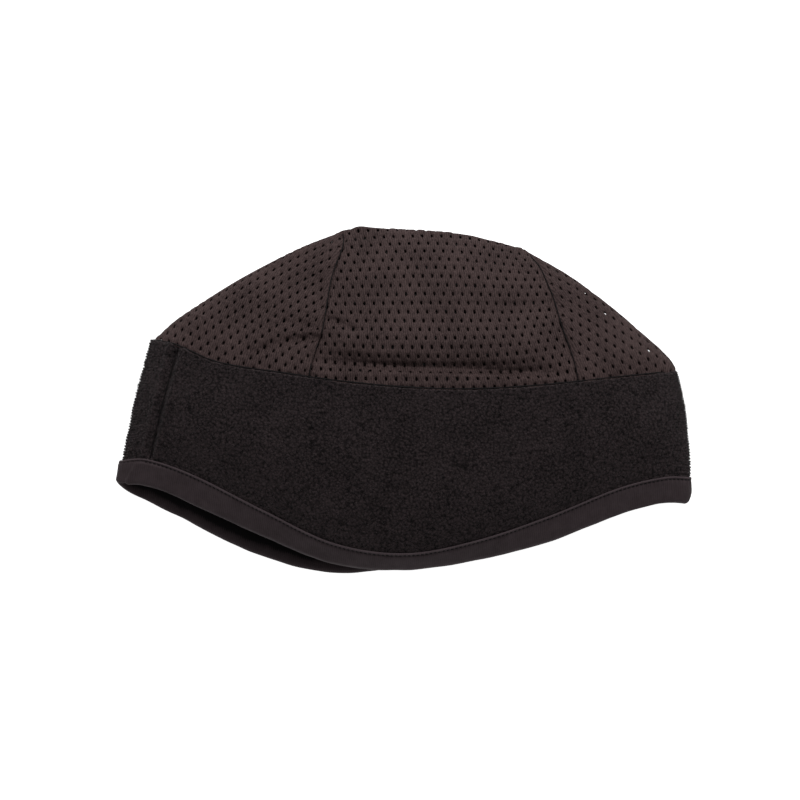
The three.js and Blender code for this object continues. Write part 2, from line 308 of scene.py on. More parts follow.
def smooth(knots, values, at):
    """Smooth curve through rising knots, by cubic steps with the slope of the neighbours."""
    knots = np.asarray(knots, float)
    at = np.clip(at, knots[0], knots[-1])
    values = np.stack([np.broadcast_to(value, at.shape) for value in values])
    order = np.arange(len(knots))
    before = np.maximum(order - 1, 0)
    after = np.minimum(order + 1, len(knots) - 1)
    slopes = (values[after] - values[before]) / (knots[after] - knots[before])[:, None]
    k = np.clip(np.searchsorted(knots, at) - 1, 0, len(knots) - 2)
    n = np.arange(at.size)
    span = knots[k + 1] - knots[k]
    u = (at - knots[k]) / span
    v = 1 - u
    ends = values[k, n] * (1 + 2 * u) * v**2 + values[k + 1, n] * (1 + 2 * v) * u**2
    return ends + span * (slopes[k, n] * u * v**2 - slopes[k + 1, n] * v * u**2)


def by_level(levels, values, level):
    """A table's value at each level. Band and crown meet at a corner, so each reads its own rows."""
    levels = np.asarray(levels, float)
    values = np.asarray(values, float)
    band = levels <= BAND_TOP
    crown = levels >= BAND_TOP
    return np.where(
        level <= BAND_TOP,
        smooth(levels[band], values[band], level),
        smooth(levels[crown], values[crown], level),
    )


def column(table, name, level):
    """One named column of a table at each level."""
    return by_level(table["level"], table[name], level)


def sag_at(side, share, level):
    """How far the cloth hangs at a share of the way from nape to brow."""
    places = [by_level(SAG_LEVELS, values, level) for values in np.array(SAG[side]).T]
    return smooth((0, *SAG_PLACES, 1), [0.0, *places, 0.0], share)


def dent_at(x, y):
    """Depth of the crease and the soft dents in the near layer at plan points."""
    above = y - np.interp(x, CREASE_X, CREASE_Y)
    slope = np.minimum(2 - 2 * smoothstep(above, -CREASE["fade"], CREASE["fade"]), 1)
    wall = smoothstep(above, -CREASE["wall"], 0)
    swell = SWELL["height"] * bell(above - SWELL["above"], SWELL["width"])
    crease = CREASE["depth"] * slope * wall - swell
    crease = crease * smoothstep(x, *CREASE["left"]) * (1 - smoothstep(x, *CREASE["right"]))
    depth = np.zeros_like(x)
    for from_x, from_y, to_x, to_y, deep, wide in DENTS:
        along_x, along_y = to_x - from_x, to_y - from_y
        length = math.hypot(along_x, along_y)
        t = ((x - from_x) * along_x + (y - from_y) * along_y) / length**2
        across = ((x - from_x) * along_y - (y - from_y) * along_x) / length
        past = np.maximum(np.maximum(-t, t - 1), 0) * length
        depth = np.maximum(depth, deep * np.exp(-(across**2 + past**2) / wide**2))
    return crease + depth


def width_at(level):
    """Distance between the folds."""
    return column(FOLD_PLAN, "brow_x", level) - column(FOLD_PLAN, "nape_x", level)


def above_floor(points):
    """Moves points that are under the floor on to it, with a little room."""
    points[..., 2] = np.maximum(points[..., 2], FLOOR_ROOM)
    return points


def at_places(places, along, line):
    """Points at some distances along a line."""
    return np.column_stack([np.interp(places, along, values) for values in line.T])


def roll(distance, size):
    """Rises as a quarter circle from a fold to full height."""
    return np.sqrt(1 - (1 - np.minimum(1, distance / size)) ** 2)


def cap_points(near, share, level, depth=0.0):
    """Points of the cap, each on the near or far layer, at a share of the way from nape to brow,
    at a level up the cloth, and at a depth inside the outer face."""
    near, share, level, depth = np.broadcast_arrays(near, share, level, depth)
    shape = share.shape
    near, share, level, depth = (a.ravel() for a in (near, share, level, depth))
    share, level, depth = (a.astype(float) for a in (share, level, depth))
    nape_x, nape_y, brow_x, brow_y = (
        column(FOLD_PLAN, name, level) for name in ("nape_x", "nape_y", "brow_x", "brow_y")
    )
    crown = np.maximum(0, (level - BAND_TOP) / (CROWN_TOP - BAND_TOP))
    turn = smoothstep(crown, 0, TURN_SHARE)
    in_x = depth * (1 - LESS_IN_X[0] * turn - LESS_IN_X[1] * crown)
    in_y = depth * (MORE_IN_Y[0] * turn + MORE_IN_Y[1] * crown)
    x = (nape_x + in_x) * (1 - share) + (brow_x - in_x) * share
    place = (x - nape_x) / (brow_x - nape_x)
    sag = np.where(near, sag_at("near", place, level), sag_at("far", place, level))
    y = nape_y + (brow_y - nape_y) * place - sag - in_y
    fold = column(ARCH, "fold", level)
    fall = (1 - np.minimum(crown, 1) ** FALL_BEND) ** FALL_FOLD
    rise = (column(ARCH, "rise", level) - depth) * fall
    across = np.abs(2 * share - 1) ** column(ARCH, "shoulder", level)
    arch = np.maximum(0, 1 - across) ** column(ARCH, "edge", level)
    dent = np.where(level > BAND_TOP, dent_at(x, y) * arch, 0)
    reach = (brow_x - nape_x) * np.minimum(share, 1 - share)
    flat = roll(reach, FOLD_ROLL) * roll(CROWN_TOP - level, TOP_ROLL)
    z = np.where(near, fold + rise * arch - dent, depth + (fold - depth) * (1 - flat))
    return np.stack([x, y, z], axis=-1).reshape(*shape, 3)


@lru_cache
def seam_line(seam, near):
    """Shares of the way across at which a crown seam crosses the crown's levels."""
    level = np.linspace(BAND_TOP - 8, CROWN_TOP, 187)
    share = np.full_like(level, 0.5)
    for _ in range(SEAM_PASSES):
        y = cap_points(near, share, level)[..., 1]
        x = smooth(SEAMS[seam]["y"], SEAMS[seam]["x"], y)
        wanted = (x - column(FOLD_PLAN, "nape_x", level)) / width_at(level)
        share = 0.5 * (share + np.clip(wanted, 0, 1))
    return level, share


def seam_share(seam, near, level):
    """Share of the way across at which a crown seam crosses each level of a layer."""
    return np.where(
        near, np.interp(level, *seam_line(seam, True)), np.interp(level, *seam_line(seam, False))
    )


def past_seam(seam, near, share, level):
    """Distance past a crown seam, going away from the centre panel."""
    past = seam_share(seam, near, level) - share
    return (past if seam == "nape" else -past) * width_at(level)


# Helpers that make meshes.

TUBE_SIDES = 6


def lumps(points, size, place):
    """Smooth random heights from about -1 to 1, with lumps of that size."""
    shifted = points.reshape(-1, 3) / size + place
    return np.array([noise.noise(Vector(p)) for p in shifted]).reshape(points.shape[:-1])


def swells(points, *kinds):
    """Sum of lumps of several kinds, each given by its height, size and place."""
    return sum(height * lumps(points, size, place) for height, size, place in kinds)


def unit(vectors):
    """Vectors of length 1."""
    return vectors / np.maximum(np.linalg.norm(vectors, axis=-1, keepdims=True), 1e-9)


def vertex_normals(points, triangles):
    """Normals of a triangulated surface at its points, weighted by area."""
    a, b, c = (points[triangles[:, i]] for i in range(3))
    face = np.cross(b - a, c - a)
    normals = np.zeros_like(points)
    for i in range(3):
        np.add.at(normals, triangles[:, i], face)
    return unit(normals)


def loop_corners(mesh):
    """The point at each corner of a mesh's faces."""
    corners = np.zeros(len(mesh.loops), int)
    mesh.loops.foreach_get("vertex_index", corners)
    return corners


def new_piece(name, points, faces, material, cloth=None):
    """A smooth mesh piece that rides on the cap, with its cloth's flat millimetres as UV."""
    mesh = bpy.data.meshes.new(name)
    mesh.from_pydata((points * MM).tolist(), [], faces.tolist())
    if cloth is not None:
        layer = mesh.uv_layers.new(name="cloth")
        layer.data.foreach_set("uv", cloth[loop_corners(mesh)].ravel().astype(np.float32))
    mesh.materials.append(material)
    mesh.shade_smooth()
    piece = bpy.data.objects.new(name, mesh)
    bpy.context.scene.collection.objects.link(piece)
    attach(piece, "root")
    return piece


def ring_faces(rows, columns, first=0, close_rows=True):
    """Quads over a grid of points whose columns run round the head."""
    r = np.arange(rows if close_rows else rows - 1)
    c = np.arange(columns)
    r, c = (g.ravel() for g in np.meshgrid(r, c, indexing="ij"))
    after_r, after_c = (r + 1) % rows, (c + 1) % columns
    quads = (r * columns + c, r * columns + after_c, after_r * columns + after_c, after_r * columns + c)
    return np.stack(quads, axis=1) + first


def grid_normals(points):
    """Normals of a grid whose rows and columns both run in loops."""
    along = np.roll(points, -1, axis=1) - np.roll(points, 1, axis=1)
    up = np.roll(points, -1, axis=0) - np.roll(points, 1, axis=0)
    return unit(np.cross(along, up))


def tube(core, side, up, radius):
    """Rings of points round a core line."""
    turn = np.arange(TUBE_SIDES) / TUBE_SIDES * 2 * math.pi
    ring = np.cos(turn)[:, None] * side[:, None] + np.sin(turn)[:, None] * up[:, None]
    return above_floor(core[:, None] + radius[:, None, None] * ring).reshape(-1, 3)


def joined_tubes(tubes):
    """Points and faces of several tubes as one mesh."""
    faces, first = [], 0
    for points in tubes:
        faces.append(ring_faces(len(points) // TUBE_SIDES, TUBE_SIDES, first, close_rows=False))
        first += len(points)
    return np.concatenate(tubes), np.concatenate(faces)


def outward(normals, row, column_at):
    """Normals of a closed grid, turned so that they point up at one place of the near layer."""
    return -normals if normals[row, column_at, 2] < 0 else normals


def round_head(near_steps, far_steps, crowd=0.35):
    """Places round the head: from the nape fold over the near layer and back under it."""
    even = np.concatenate([np.arange(steps) / steps for steps in (near_steps, far_steps)])
    eased = (1 - crowd) * even + crowd * (0.5 - 0.5 * np.cos(math.pi * even))
    near = np.arange(near_steps + far_steps) < near_steps
    return near, np.where(near, eased, 1 - eased)


def shell(outer, inner, triangles):
    """Faces of a wall between two sheets with the same triangles, closed at every free edge."""
    count = len(outer)
    edges = np.concatenate([triangles[:, [0, 1]], triangles[:, [1, 2]], triangles[:, [2, 0]]])
    key = np.sort(edges, axis=1)
    _, index, uses = np.unique(key, axis=0, return_index=True, return_counts=True)
    free = edges[index[uses == 1]]
    a, b = free[:, 0], free[:, 1]
    sides = np.concatenate(
        [np.stack([b, a, a + count], axis=1), np.stack([b, a + count, b + count], axis=1)]
    )
    faces = np.concatenate([triangles, triangles[:, ::-1] + count, sides])
    return np.concatenate([outer, inner]), faces


def material_nodes(name, colour, roughness, specular, sheen):
    """A new material with a cloth shader, and its node tree."""
    material = bpy.data.materials.new(name)
    material.use_nodes = True
    shader = material.node_tree.nodes["Principled BSDF"]
    values = {
        "Base Color": (*colour, 1),
        "Roughness": roughness,
        "Specular IOR Level": specular,
        "Sheen Weight": sheen,
        "Sheen Roughness": 0.5,
    }
    for socket, value in values.items():
        shader.inputs[socket].default_value = value
    return material, material.node_tree, shader


def add_node(tree, kind, inputs, **settings):
    """A new node with its settings, and its inputs, each a value or a socket to link."""
    node = tree.nodes.new(kind)
    for name, value in settings.items():
        setattr(node, name, value)
    for socket, value in inputs.items():
        if isinstance(value, bpy.types.NodeSocket):
            tree.links.new(value, node.inputs[socket])
        else:
            node.inputs[socket].default_value = value
    return node


def speckle(tree, scale, detail=2.0, roughness=0.6, vector=None):
    """A noise texture in the piece's own metres, or along a given vector."""
    if vector is None:
        vector = add_node(tree, "ShaderNodeTexCoord", {}).outputs["Object"]
    inputs = {"Scale": scale, "Detail": detail, "Roughness": roughness, "Vector": vector}
    return add_node(tree, "ShaderNodeTexNoise", inputs).outputs["Fac"]


def cloth_place(tree):
    """The place on the flat cloth, in millimetres."""
    return add_node(tree, "ShaderNodeUVMap", {}, uv_map="cloth").outputs["UV"]


def colour_between(tree, shader, factor, low, high, stops=(0.3, 0.7), deepest_painted_shade=None):
    """Colours a shader from dark to light by a factor, and from a deepest painted shade where that is 0.
    """
    ramp = add_node(tree, "ShaderNodeValToRGB", {"Fac": factor})
    for element, stop, colour in zip(ramp.color_ramp.elements, stops, (low, high)):
        element.position = stop
        element.color = (*colour, 1)
    if deepest_painted_shade is not None:
        ramp.color_ramp.elements.new(0.0).color = (*deepest_painted_shade, 1)
    tree.links.new(ramp.outputs["Color"], shader.inputs["Base Color"])


def add_bump(tree, shader, height, strength, distance):
    """Bumps a shader by a height."""
    inputs = {"Height": height, "Strength": strength, "Distance": distance}
    bump = add_node(tree, "ShaderNodeBump", inputs)
    tree.links.new(bump.outputs["Normal"], shader.inputs["Normal"])


def shade(colour, amount):
    """A colour made darker or lighter."""
    return tuple(c * amount for c in colour)


def tint(colour, amounts):
    """A colour with each of its parts made darker or lighter."""
    return tuple(c * amount for c, amount in zip(colour, amounts))


def calculate(tree, operation, first, second):
    """A sum, difference or product of two sockets or numbers."""
    inputs = {0: first, 1: second}
    return add_node(tree, "ShaderNodeMath", inputs, operation=operation).outputs["Value"]


def mix_heights(tree, first, second, share):
    """Weighted sum of two heights."""
    inputs = {"Factor": share, "A": first, "B": second}
    return add_node(tree, "ShaderNodeMix", inputs, data_type="FLOAT").outputs["Result"]


# The crown.

# The eyelets of each panel, measured in plan on the near layer: the step along a row, the step
# to the next row, and the place of one eyelet.
PATTERNS = {
    "crown_centre_panel": {"step": (4.47, 0.0), "row": (-1.84, -3.88), "at": (-34.2, 40.9)},
    "crown_nape_panel": {"step": (3.97, -2.20), "row": (0.38, -4.41), "at": (-65.0, 54.2)},
    "crown_brow_panel": {"step": (4.08, 1.94), "row": (0.0, -4.38), "at": (85.9, 40.9)},
}

# How far from that eyelet its pattern is fitted, how many sides an eyelet has, how far it stays
# from the panel's edge, and what counts as its own edge. Then the points between the eyelets: the
# parts of a step, their least distances from the panel's edge and from an eyelet's centre in its
# half widths, and the step along outlines and folds.
PATTERN_REACH = 35.0
EYELET_SIDES = 10
EYELET_MARGIN = 1.2
EDGE_NEAR = 0.06
FILL_PARTS = 4
FILL_MARGIN = 0.55
FILL_REACH = 1.45
OUTLINE_STEP = 1.3
CORNER_TURN = 0.8
POINTS_AT_ONCE = 3000

# Rows and columns of the panels' grids. Even rows go up to one level and the top's rows start from
# the next, and the end panels' columns crowd round their fold.
EVEN_TO, TOP_FROM = 162, 163.5
EVEN_ROWS, CENTRE_TOP_ROWS, END_TOP_ROWS = 40, 12, 9
CENTRE_COLUMNS, END_COLUMNS = 40, 61
FOLD_CROWD = 1.7

# Height above which the near layer is seen well from above.
SEEN_HEIGHT = 9

# The crown's cloth turns in over the band's top edge and lies down its inside, and the centre
# panel laps under the two end panels, which end just short of the seam and of the top.
TURN_LEVEL = BAND_TOP - 0.5
TURN_DEPTH = FLEECE_THICK + 0.35
TURN_IN = TURN_DEPTH - MESH_SUNK
TURN_DOWN = 4.0
LAP = 3.6
LAP_DEPTH, LAP_SLOPE = 1.6, (-1.5, 0.2)
EDGE_GAP = 0.15
SEAM_TIP = 0.5
SEAM_SINK, SEAM_WIDTH = 0.75, 1.1
EDGE_DIP, EDGE_WIDTH = 0.55, 0.9
EYELET_SINK = 0.16

# Bumps of the centre panel at the top fold: the seam, the distance from it, the height and the
# width. Then the full corners of the end panels at their folds: height, level and width.
TOP_BUMPS = (
    ("nape", 7.2, 1.0, 3.6),
    ("nape", -2.5, 0.5, 5.0),
    ("nape", 45, 0.35, 22),
    ("brow", 3.6, 0.6, 2.6),
)
TOP_REACH, TOP_FLATTER = 8.0, 0.85
FOLD_CORNERS = {"nape": (0.7, 101.0, 6.0), "brow": (1.1, 91.5, 4.2)}
CORNER_FROM = 0.91

# The puckered row of stitches beside a seam, and the loose waves of the near layer: the height,
# size and place of the broad ones, of the fine ones by the seams, and how far those reach. Above
# some levels most of the mesh's depth is gone.
PUCKER = {"turns": 1.9, "from_seam": 2.6, "width": 0.9, "least": 0.16, "more": 0.14}
LOOSE = {"levels": (3, 12), "broad": (0.45, 16.0, 0.0), "fine": (0.5, 3.4, 9.0), "reach": 4.5}
SURFACE_LEVELS, SURFACE_SHARE = (92, 110), 0.8

# Radius of the thread in the panel seams and along the border, its share that shows between the
# thread's lumps, how much deeper than the cloth it lies, how much it is lifted in the near
# layer, the steps along it, and its depth in the band's join.
SEAM_THREAD, EDGE_THREAD = 0.34, 0.5
THREAD_LEAN, THREAD_LUMPS = 0.8, (0.5, 2.6, 5.0)
THREAD_SUNK = 0.1
THREAD_LIFT = 0.12
THREAD_STEP, JOIN_STEP = 0.5, 0.6
EDGE_STEPS = 420
JOIN_DEEP = 0.75


def lay_flat(points, quads):
    """Lays a curved piece of cloth out flat, as it was cut."""
    mesh = bpy.data.meshes.new("flat_cut")
    mesh.from_pydata(points.tolist(), [], quads.tolist())
    piece = bpy.data.objects.new("flat_cut", mesh)
    bpy.context.scene.collection.objects.link(piece)
    bpy.context.view_layer.objects.active = piece
    bpy.ops.object.mode_set(mode="EDIT")
    bpy.ops.mesh.select_all(action="SELECT")
    bpy.ops.uv.unwrap(method="MINIMUM_STRETCH", margin=0)
    bpy.ops.object.mode_set(mode="OBJECT")
    uv = np.zeros(len(mesh.loops) * 2)
    mesh.uv_layers.active.data.foreach_get("uv", uv)
    flat = np.zeros((len(points), 2))
    flat[loop_corners(mesh)] = uv.reshape(-1, 2)
    bpy.data.objects.remove(piece)
    bpy.data.meshes.remove(mesh)
    return flat * math.sqrt(quads_area(points, quads) / flat_area(flat, quads))


def quads_area(points, quads):
    """Area of a surface of quads."""
    a, b, c, d = (points[quads[:, i]] for i in range(4))
    return np.linalg.norm(np.cross(c - a, d - b), axis=1).sum() / 2


def flat_area(flat, quads):
    """Area of a flat surface of quads."""
    return quads_area(np.column_stack([flat, np.zeros(len(flat))]), quads)


def to_outline(points, outline):
    """Distance of flat points from a closed outline, negative outside it."""
    ends = np.roll(outline, -1, axis=0)
    along = ends - outline
    rise = np.where(along[:, 1] == 0, 1e-12, along[:, 1])
    found = []
    for part in np.array_split(points, len(points) // POINTS_AT_ONCE + 1):
        away = part[:, None] - outline[None]
        t = np.clip((away * along).sum(-1) / (along**2).sum(-1), 0, 1)
        distance = np.linalg.norm(away - t[..., None] * along, axis=-1).min(axis=1)
        y = part[:, 1][:, None]
        crosses = (outline[:, 1] > y) != (ends[:, 1] > y)
        x = outline[:, 0] + (y - outline[:, 1]) / rise * along[:, 0]
        inside = (crosses & (part[:, 0][:, None] < x)).sum(axis=1) % 2 == 1
        found.append(np.where(inside, distance, -distance))
    return np.concatenate(found)


def even_line(points, step):
    """A line of points an even step apart along a line, from its start to just before its end."""
    along = np.concatenate([[0], np.cumsum(np.linalg.norm(np.diff(points, axis=0), axis=1))])
    places = np.linspace(0, along[-1], max(2, round(along[-1] / step)) + 1)[:-1]
    return at_places(places, along, points)


def even_outline(outline, step):
    """A closed outline with its points an even step apart, and its sharp corners kept."""
    before = unit(outline - np.roll(outline, 1, axis=0))
    after = unit(np.roll(outline, -1, axis=0) - outline)
    corners = np.flatnonzero((before * after).sum(axis=1) < CORNER_TURN).tolist()
    ends = [*corners[1:], corners[0] + len(outline)]
    sides = [np.arange(first, last + 1) % len(outline) for first, last in zip(corners, ends)]
    return np.concatenate([even_line(outline[side], step) for side in sides])


def pattern_in_flat(flat, plan, seen, pattern):
    """An eyelet pattern carried from the plan to the flat cloth: its start and its two steps."""
    weight = np.exp(-((plan - pattern["at"]) ** 2).sum(axis=1) / PATTERN_REACH**2)
    weight = np.where(seen, weight, 0)[:, None]
    source = np.column_stack([flat, np.ones(len(flat))])
    fit = np.linalg.lstsq(source * weight, plan * weight, rcond=None)[0]
    to_flat = np.linalg.inv(fit[:2].T)
    lattice = np.column_stack([to_flat @ pattern["step"], to_flat @ pattern["row"]])
    return to_flat @ (np.array(pattern["at"]) - fit[2]), lattice


class Eyelets:
    """The eyelets of one flat panel: a lattice of ovals that lie along the wales."""

    def __init__(self, start, lattice, outline, size):
        step, row = lattice.T
        wale = min((2 * row + step, 2 * row - step), key=lambda v: abs(v @ step))
        self.wale = wale / np.linalg.norm(wale)
        self.weft = np.array([-self.wale[1], self.wale[0]])
        self.start, self.lattice, self.half = start, lattice, np.array(size) / 2
        reach = np.linalg.solve(lattice, (outline - start).T)
        self.low = np.floor(reach.min(axis=1)).astype(int)
        high = np.ceil(reach.max(axis=1)).astype(int)
        cells = [np.arange(a, b + 1) for a, b in zip(self.low, high)]
        i, j = np.meshgrid(*cells, indexing="ij")
        self.cells = np.column_stack([i.ravel(), j.ravel()])
        self.centres = start + self.cells @ lattice.T
        self.open = to_outline(self.centres, outline) > EYELET_MARGIN
        self.grid = self.open.reshape(i.shape)

    def rings(self):
        """Points on the edges of the open eyelets."""
        turn = np.arange(EYELET_SIDES) / EYELET_SIDES * 2 * math.pi
        ring = np.outer(np.cos(turn) * self.half[0], self.weft)
        ring = ring + np.outer(np.sin(turn) * self.half[1], self.wale)
        return (self.centres[self.open][:, None] + ring[None]).reshape(-1, 2)

    def reach(self, points):
        """How far points are from the nearest open eyelet's centre: 1 on its edge."""
        cell = np.linalg.solve(self.lattice, (points - self.start).T)
        nearest = np.round(cell).astype(int)
        away = (self.lattice @ (cell - nearest)).T
        share = np.hypot(away @ self.weft / self.half[0], away @ self.wale / self.half[1])
        at = np.clip(nearest - self.low[:, None], 0, np.array(self.grid.shape)[:, None] - 1)
        return np.where(self.grid[at[0], at[1]], share, np.inf)

    def fill(self):
        """Points between the eyelets, on a finer lattice."""
        part = np.arange(FILL_PARTS) / FILL_PARTS
        i, j = np.meshgrid(part, part)
        parts = np.column_stack([i.ravel(), j.ravel()]) @ self.lattice.T
        points = (self.centres[:, None] + parts[None]).reshape(-1, 2)
        return points[self.reach(points) > FILL_REACH]


def cut_cloth(outline, folds, eyelets):
    """Triangles of a flat panel with its eyelets left out, and with edges along its folds."""
    rings = eyelets.rings()
    fill = eyelets.fill()
    fill = fill[to_outline(fill, outline) > FILL_MARGIN]
    loop = np.arange(len(outline))
    edges = [np.column_stack([loop, np.roll(loop, -1)])]
    ring = len(outline) + np.arange(len(rings)).reshape(-1, EYELET_SIDES)
    edges.append(np.stack([ring, np.roll(ring, -1, axis=1)], axis=-1).reshape(-1, 2))
    points = [outline, rings]
    count = len(outline) + len(rings)
    for fold in folds:
        line = even_line(fold, OUTLINE_STEP)[1:-1]
        at = count + np.arange(len(line))
        edges.append(np.column_stack([at[:-1], at[1:]]))
        points.append(line)
        count += len(line)
    points = np.concatenate([*points, fill])
    made = delaunay_2d_cdt(
        [Vector(p) for p in points], np.concatenate(edges).tolist(), [], 1, 1e-6, True
    )
    flat = np.array([tuple(p) for p in made[0]])
    triangles = np.array(made[2])
    middle = flat[triangles].mean(axis=1)
    return flat, triangles[eyelets.reach(middle) > 1 - EDGE_NEAR]


def values_at(flat_points, flat, triangles, values):
    """Values of a flat, triangulated grid at other flat points."""
    tree = BVHTree.FromPolygons([(*p, 0.0) for p in flat.tolist()], triangles.tolist())
    found = np.array([tree.find_nearest((*p, 0.0))[2] for p in flat_points.tolist()])
    a, b, c = (flat[triangles[found, i]] for i in range(3))
    whole = cross_2d(b - a, c - a)
    to_a, to_b, to_c = (corner - flat_points for corner in (a, b, c))
    shares = np.stack([cross_2d(to_b, to_c), cross_2d(to_c, to_a)]) / whole
    shares = np.concatenate([shares, 1 - shares.sum(axis=0, keepdims=True)])
    return sum(shares[i][:, None] * values[triangles[found, i]] for i in range(3))


def cross_2d(a, b):
    """Twice the area between pairs of flat vectors."""
    return a[:, 0] * b[:, 1] - a[:, 1] * b[:, 0]


def crown_rise(steep):
    """Levels of a crown panel's grid, from the end of its turned-in edge up to the given ones."""
    start = TURN_LEVEL - TURN_IN - TURN_DOWN
    turned = (start, start + TURN_DOWN / 2, TURN_LEVEL - TURN_IN, TURN_LEVEL - TURN_IN / 2)
    return np.concatenate([turned, np.linspace(TURN_LEVEL, EVEN_TO, EVEN_ROWS), steep])


def centre_grid():
    """Places of the centre panel, from the band over the top fold to the far side's band. The
    second number is the level, and counts on past the top on the far layer."""
    climb = crown_rise(np.linspace(TOP_FROM, CROWN_TOP, CENTRE_TOP_ROWS))
    rising = np.concatenate([climb, 2 * CROWN_TOP - climb[-2::-1]])
    near, _, level = centre_place(rising, rising)
    lap = LAP / width_at(level)
    left = np.maximum(seam_share("nape", near, level) - lap, 0)
    right = np.minimum(seam_share("brow", near, level) + lap, 1)
    t = np.linspace(0, 1, CENTRE_COLUMNS)
    share = left[:, None] * (1 - t) + right[:, None] * t
    return share, np.broadcast_to(rising[:, None], share.shape)


def end_grid(seam, fold):
    """Places of an end panel, from its far seam round the fold to its near seam. The first
    number is the distance from the fold as a share, negative on the far layer."""
    level = crown_rise(np.linspace(TOP_FROM, CROWN_TOP - SEAM_TIP, END_TOP_ROWS))
    half = EDGE_GAP / width_at(level)
    far, near = (np.abs(seam_share(seam, side, level) - fold) - half for side in (False, True))
    t = np.linspace(-1, 1, END_COLUMNS)
    spread = np.sign(t) * np.abs(t) ** FOLD_CROWD
    away = np.where(t < 0, far[:, None], near[:, None]) * spread
    return away, np.broadcast_to(level[:, None], away.shape)


def centre_place(first, second):
    """Near or far, share and level of a place on the centre panel."""
    near = second <= CROWN_TOP
    return near, np.clip(first, 0, 1), np.where(near, second, 2 * CROWN_TOP - second)


def end_place(fold):
    """The same for an end panel, whose first number is its distance from the fold."""
    return lambda first, second: (first >= 0, np.clip(np.abs(fold - np.abs(first)), 0, 1), second)


def mesh_depth(level):
    """How deep the mesh lies in the cap: deep at the band, and nearly flush above it."""
    return MESH_SUNK * (1 - SURFACE_SHARE * smoothstep(level, *SURFACE_LEVELS))


def crown_points(near, share, level, seams):
    """Points on the outer face of a crown panel, turned in at the band and sunk at its seams."""
    past_turn = TURN_LEVEL - level
    turned = TURN_LEVEL - np.maximum(past_turn - TURN_IN, 0)
    on_cap = np.clip(np.where(past_turn > 0, turned, level), 0, CROWN_TOP)
    depth = mesh_depth(level) + np.clip(past_turn, 0, TURN_IN)
    depth = depth + EDGE_DIP * bell(past_turn + EDGE_WIDTH, EDGE_WIDTH) * (past_turn < 0)
    at_top = smoothstep(on_cap, CROWN_TOP - TOP_REACH, CROWN_TOP)
    seam_depth = 1 - TOP_FLATTER * at_top
    if len(seams) == 2:
        past = np.maximum(*(past_seam(seam, near, share, on_cap) for seam in seams))
        depth = depth + LAP_DEPTH * smoothstep(past, *LAP_SLOPE) * seam_depth
        for seam, from_seam, height, width in TOP_BUMPS:
            bump = bell(past_seam(seam, near, share, on_cap) + from_seam, width)
            depth = depth - height * at_top * bump
    else:
        past = -past_seam(seams[0], near, share, on_cap)
        depth = depth + SEAM_SINK * bell(past, SEAM_WIDTH) * seam_depth
        full, at_level, width = FOLD_CORNERS[seams[0]]
        corner = full * bell(on_cap - at_level, width) * (past_turn < 0)
        depth = depth - corner * smoothstep(np.abs(2 * share - 1), CORNER_FROM, 1)
    wobble = 0.5 + 0.5 * np.sin(on_cap * PUCKER["turns"])
    pucker = PUCKER["least"] + PUCKER["more"] * wobble
    depth = depth - pucker * bell(past + PUCKER["from_seam"], PUCKER["width"]) * seam_depth
    points = cap_points(near, share, on_cap, depth)
    loose = smoothstep(-past_turn, *LOOSE["levels"]) * np.where(near, 1, 0)
    fine = swells(points, LOOSE["fine"]) * bell(past, LOOSE["reach"]) * seam_depth
    points[..., 2] += (swells(points, LOOSE["broad"]) + fine) * loose
    return above_floor(points)


def make_mesh_cloth(settings):
    """Knitted mesh: uneven ribs along the wales, patchy tone, and very little gloss."""
    material, tree, shader = material_nodes("mesh_cloth", settings.colour, 0.75, 0.06, 0.0)
    cloth = cloth_place(tree)
    inputs = {"Scale": 0.3, "Distortion": 5.0, "Detail": 2.0, "Detail Scale": 2.2, "Vector": cloth}
    wales = add_node(tree, "ShaderNodeTexWave", inputs, bands_direction="X")
    inputs = {"Scale": (1.0, 0.42, 1.0), "Vector": cloth}
    stretch = add_node(tree, "ShaderNodeMapping", inputs)
    streaks = speckle(tree, 1.45, 3.0, 0.8, stretch.outputs["Vector"])
    patches = speckle(tree, 60.0, 2.0, 0.5)
    height = mix_heights(tree, wales.outputs["Fac"], streaks, 0.82)
    tone = mix_heights(tree, height, patches, 0.22)
    dark, light = tint(settings.colour, (0.30, 0.26, 0.27)), tint(settings.colour, (1.62, 1.48, 1.47))
    colour_between(tree, shader, tone, dark, light, (0.33, 0.66))
    add_bump(tree, shader, height, 0.7, 0.0004)
    return material


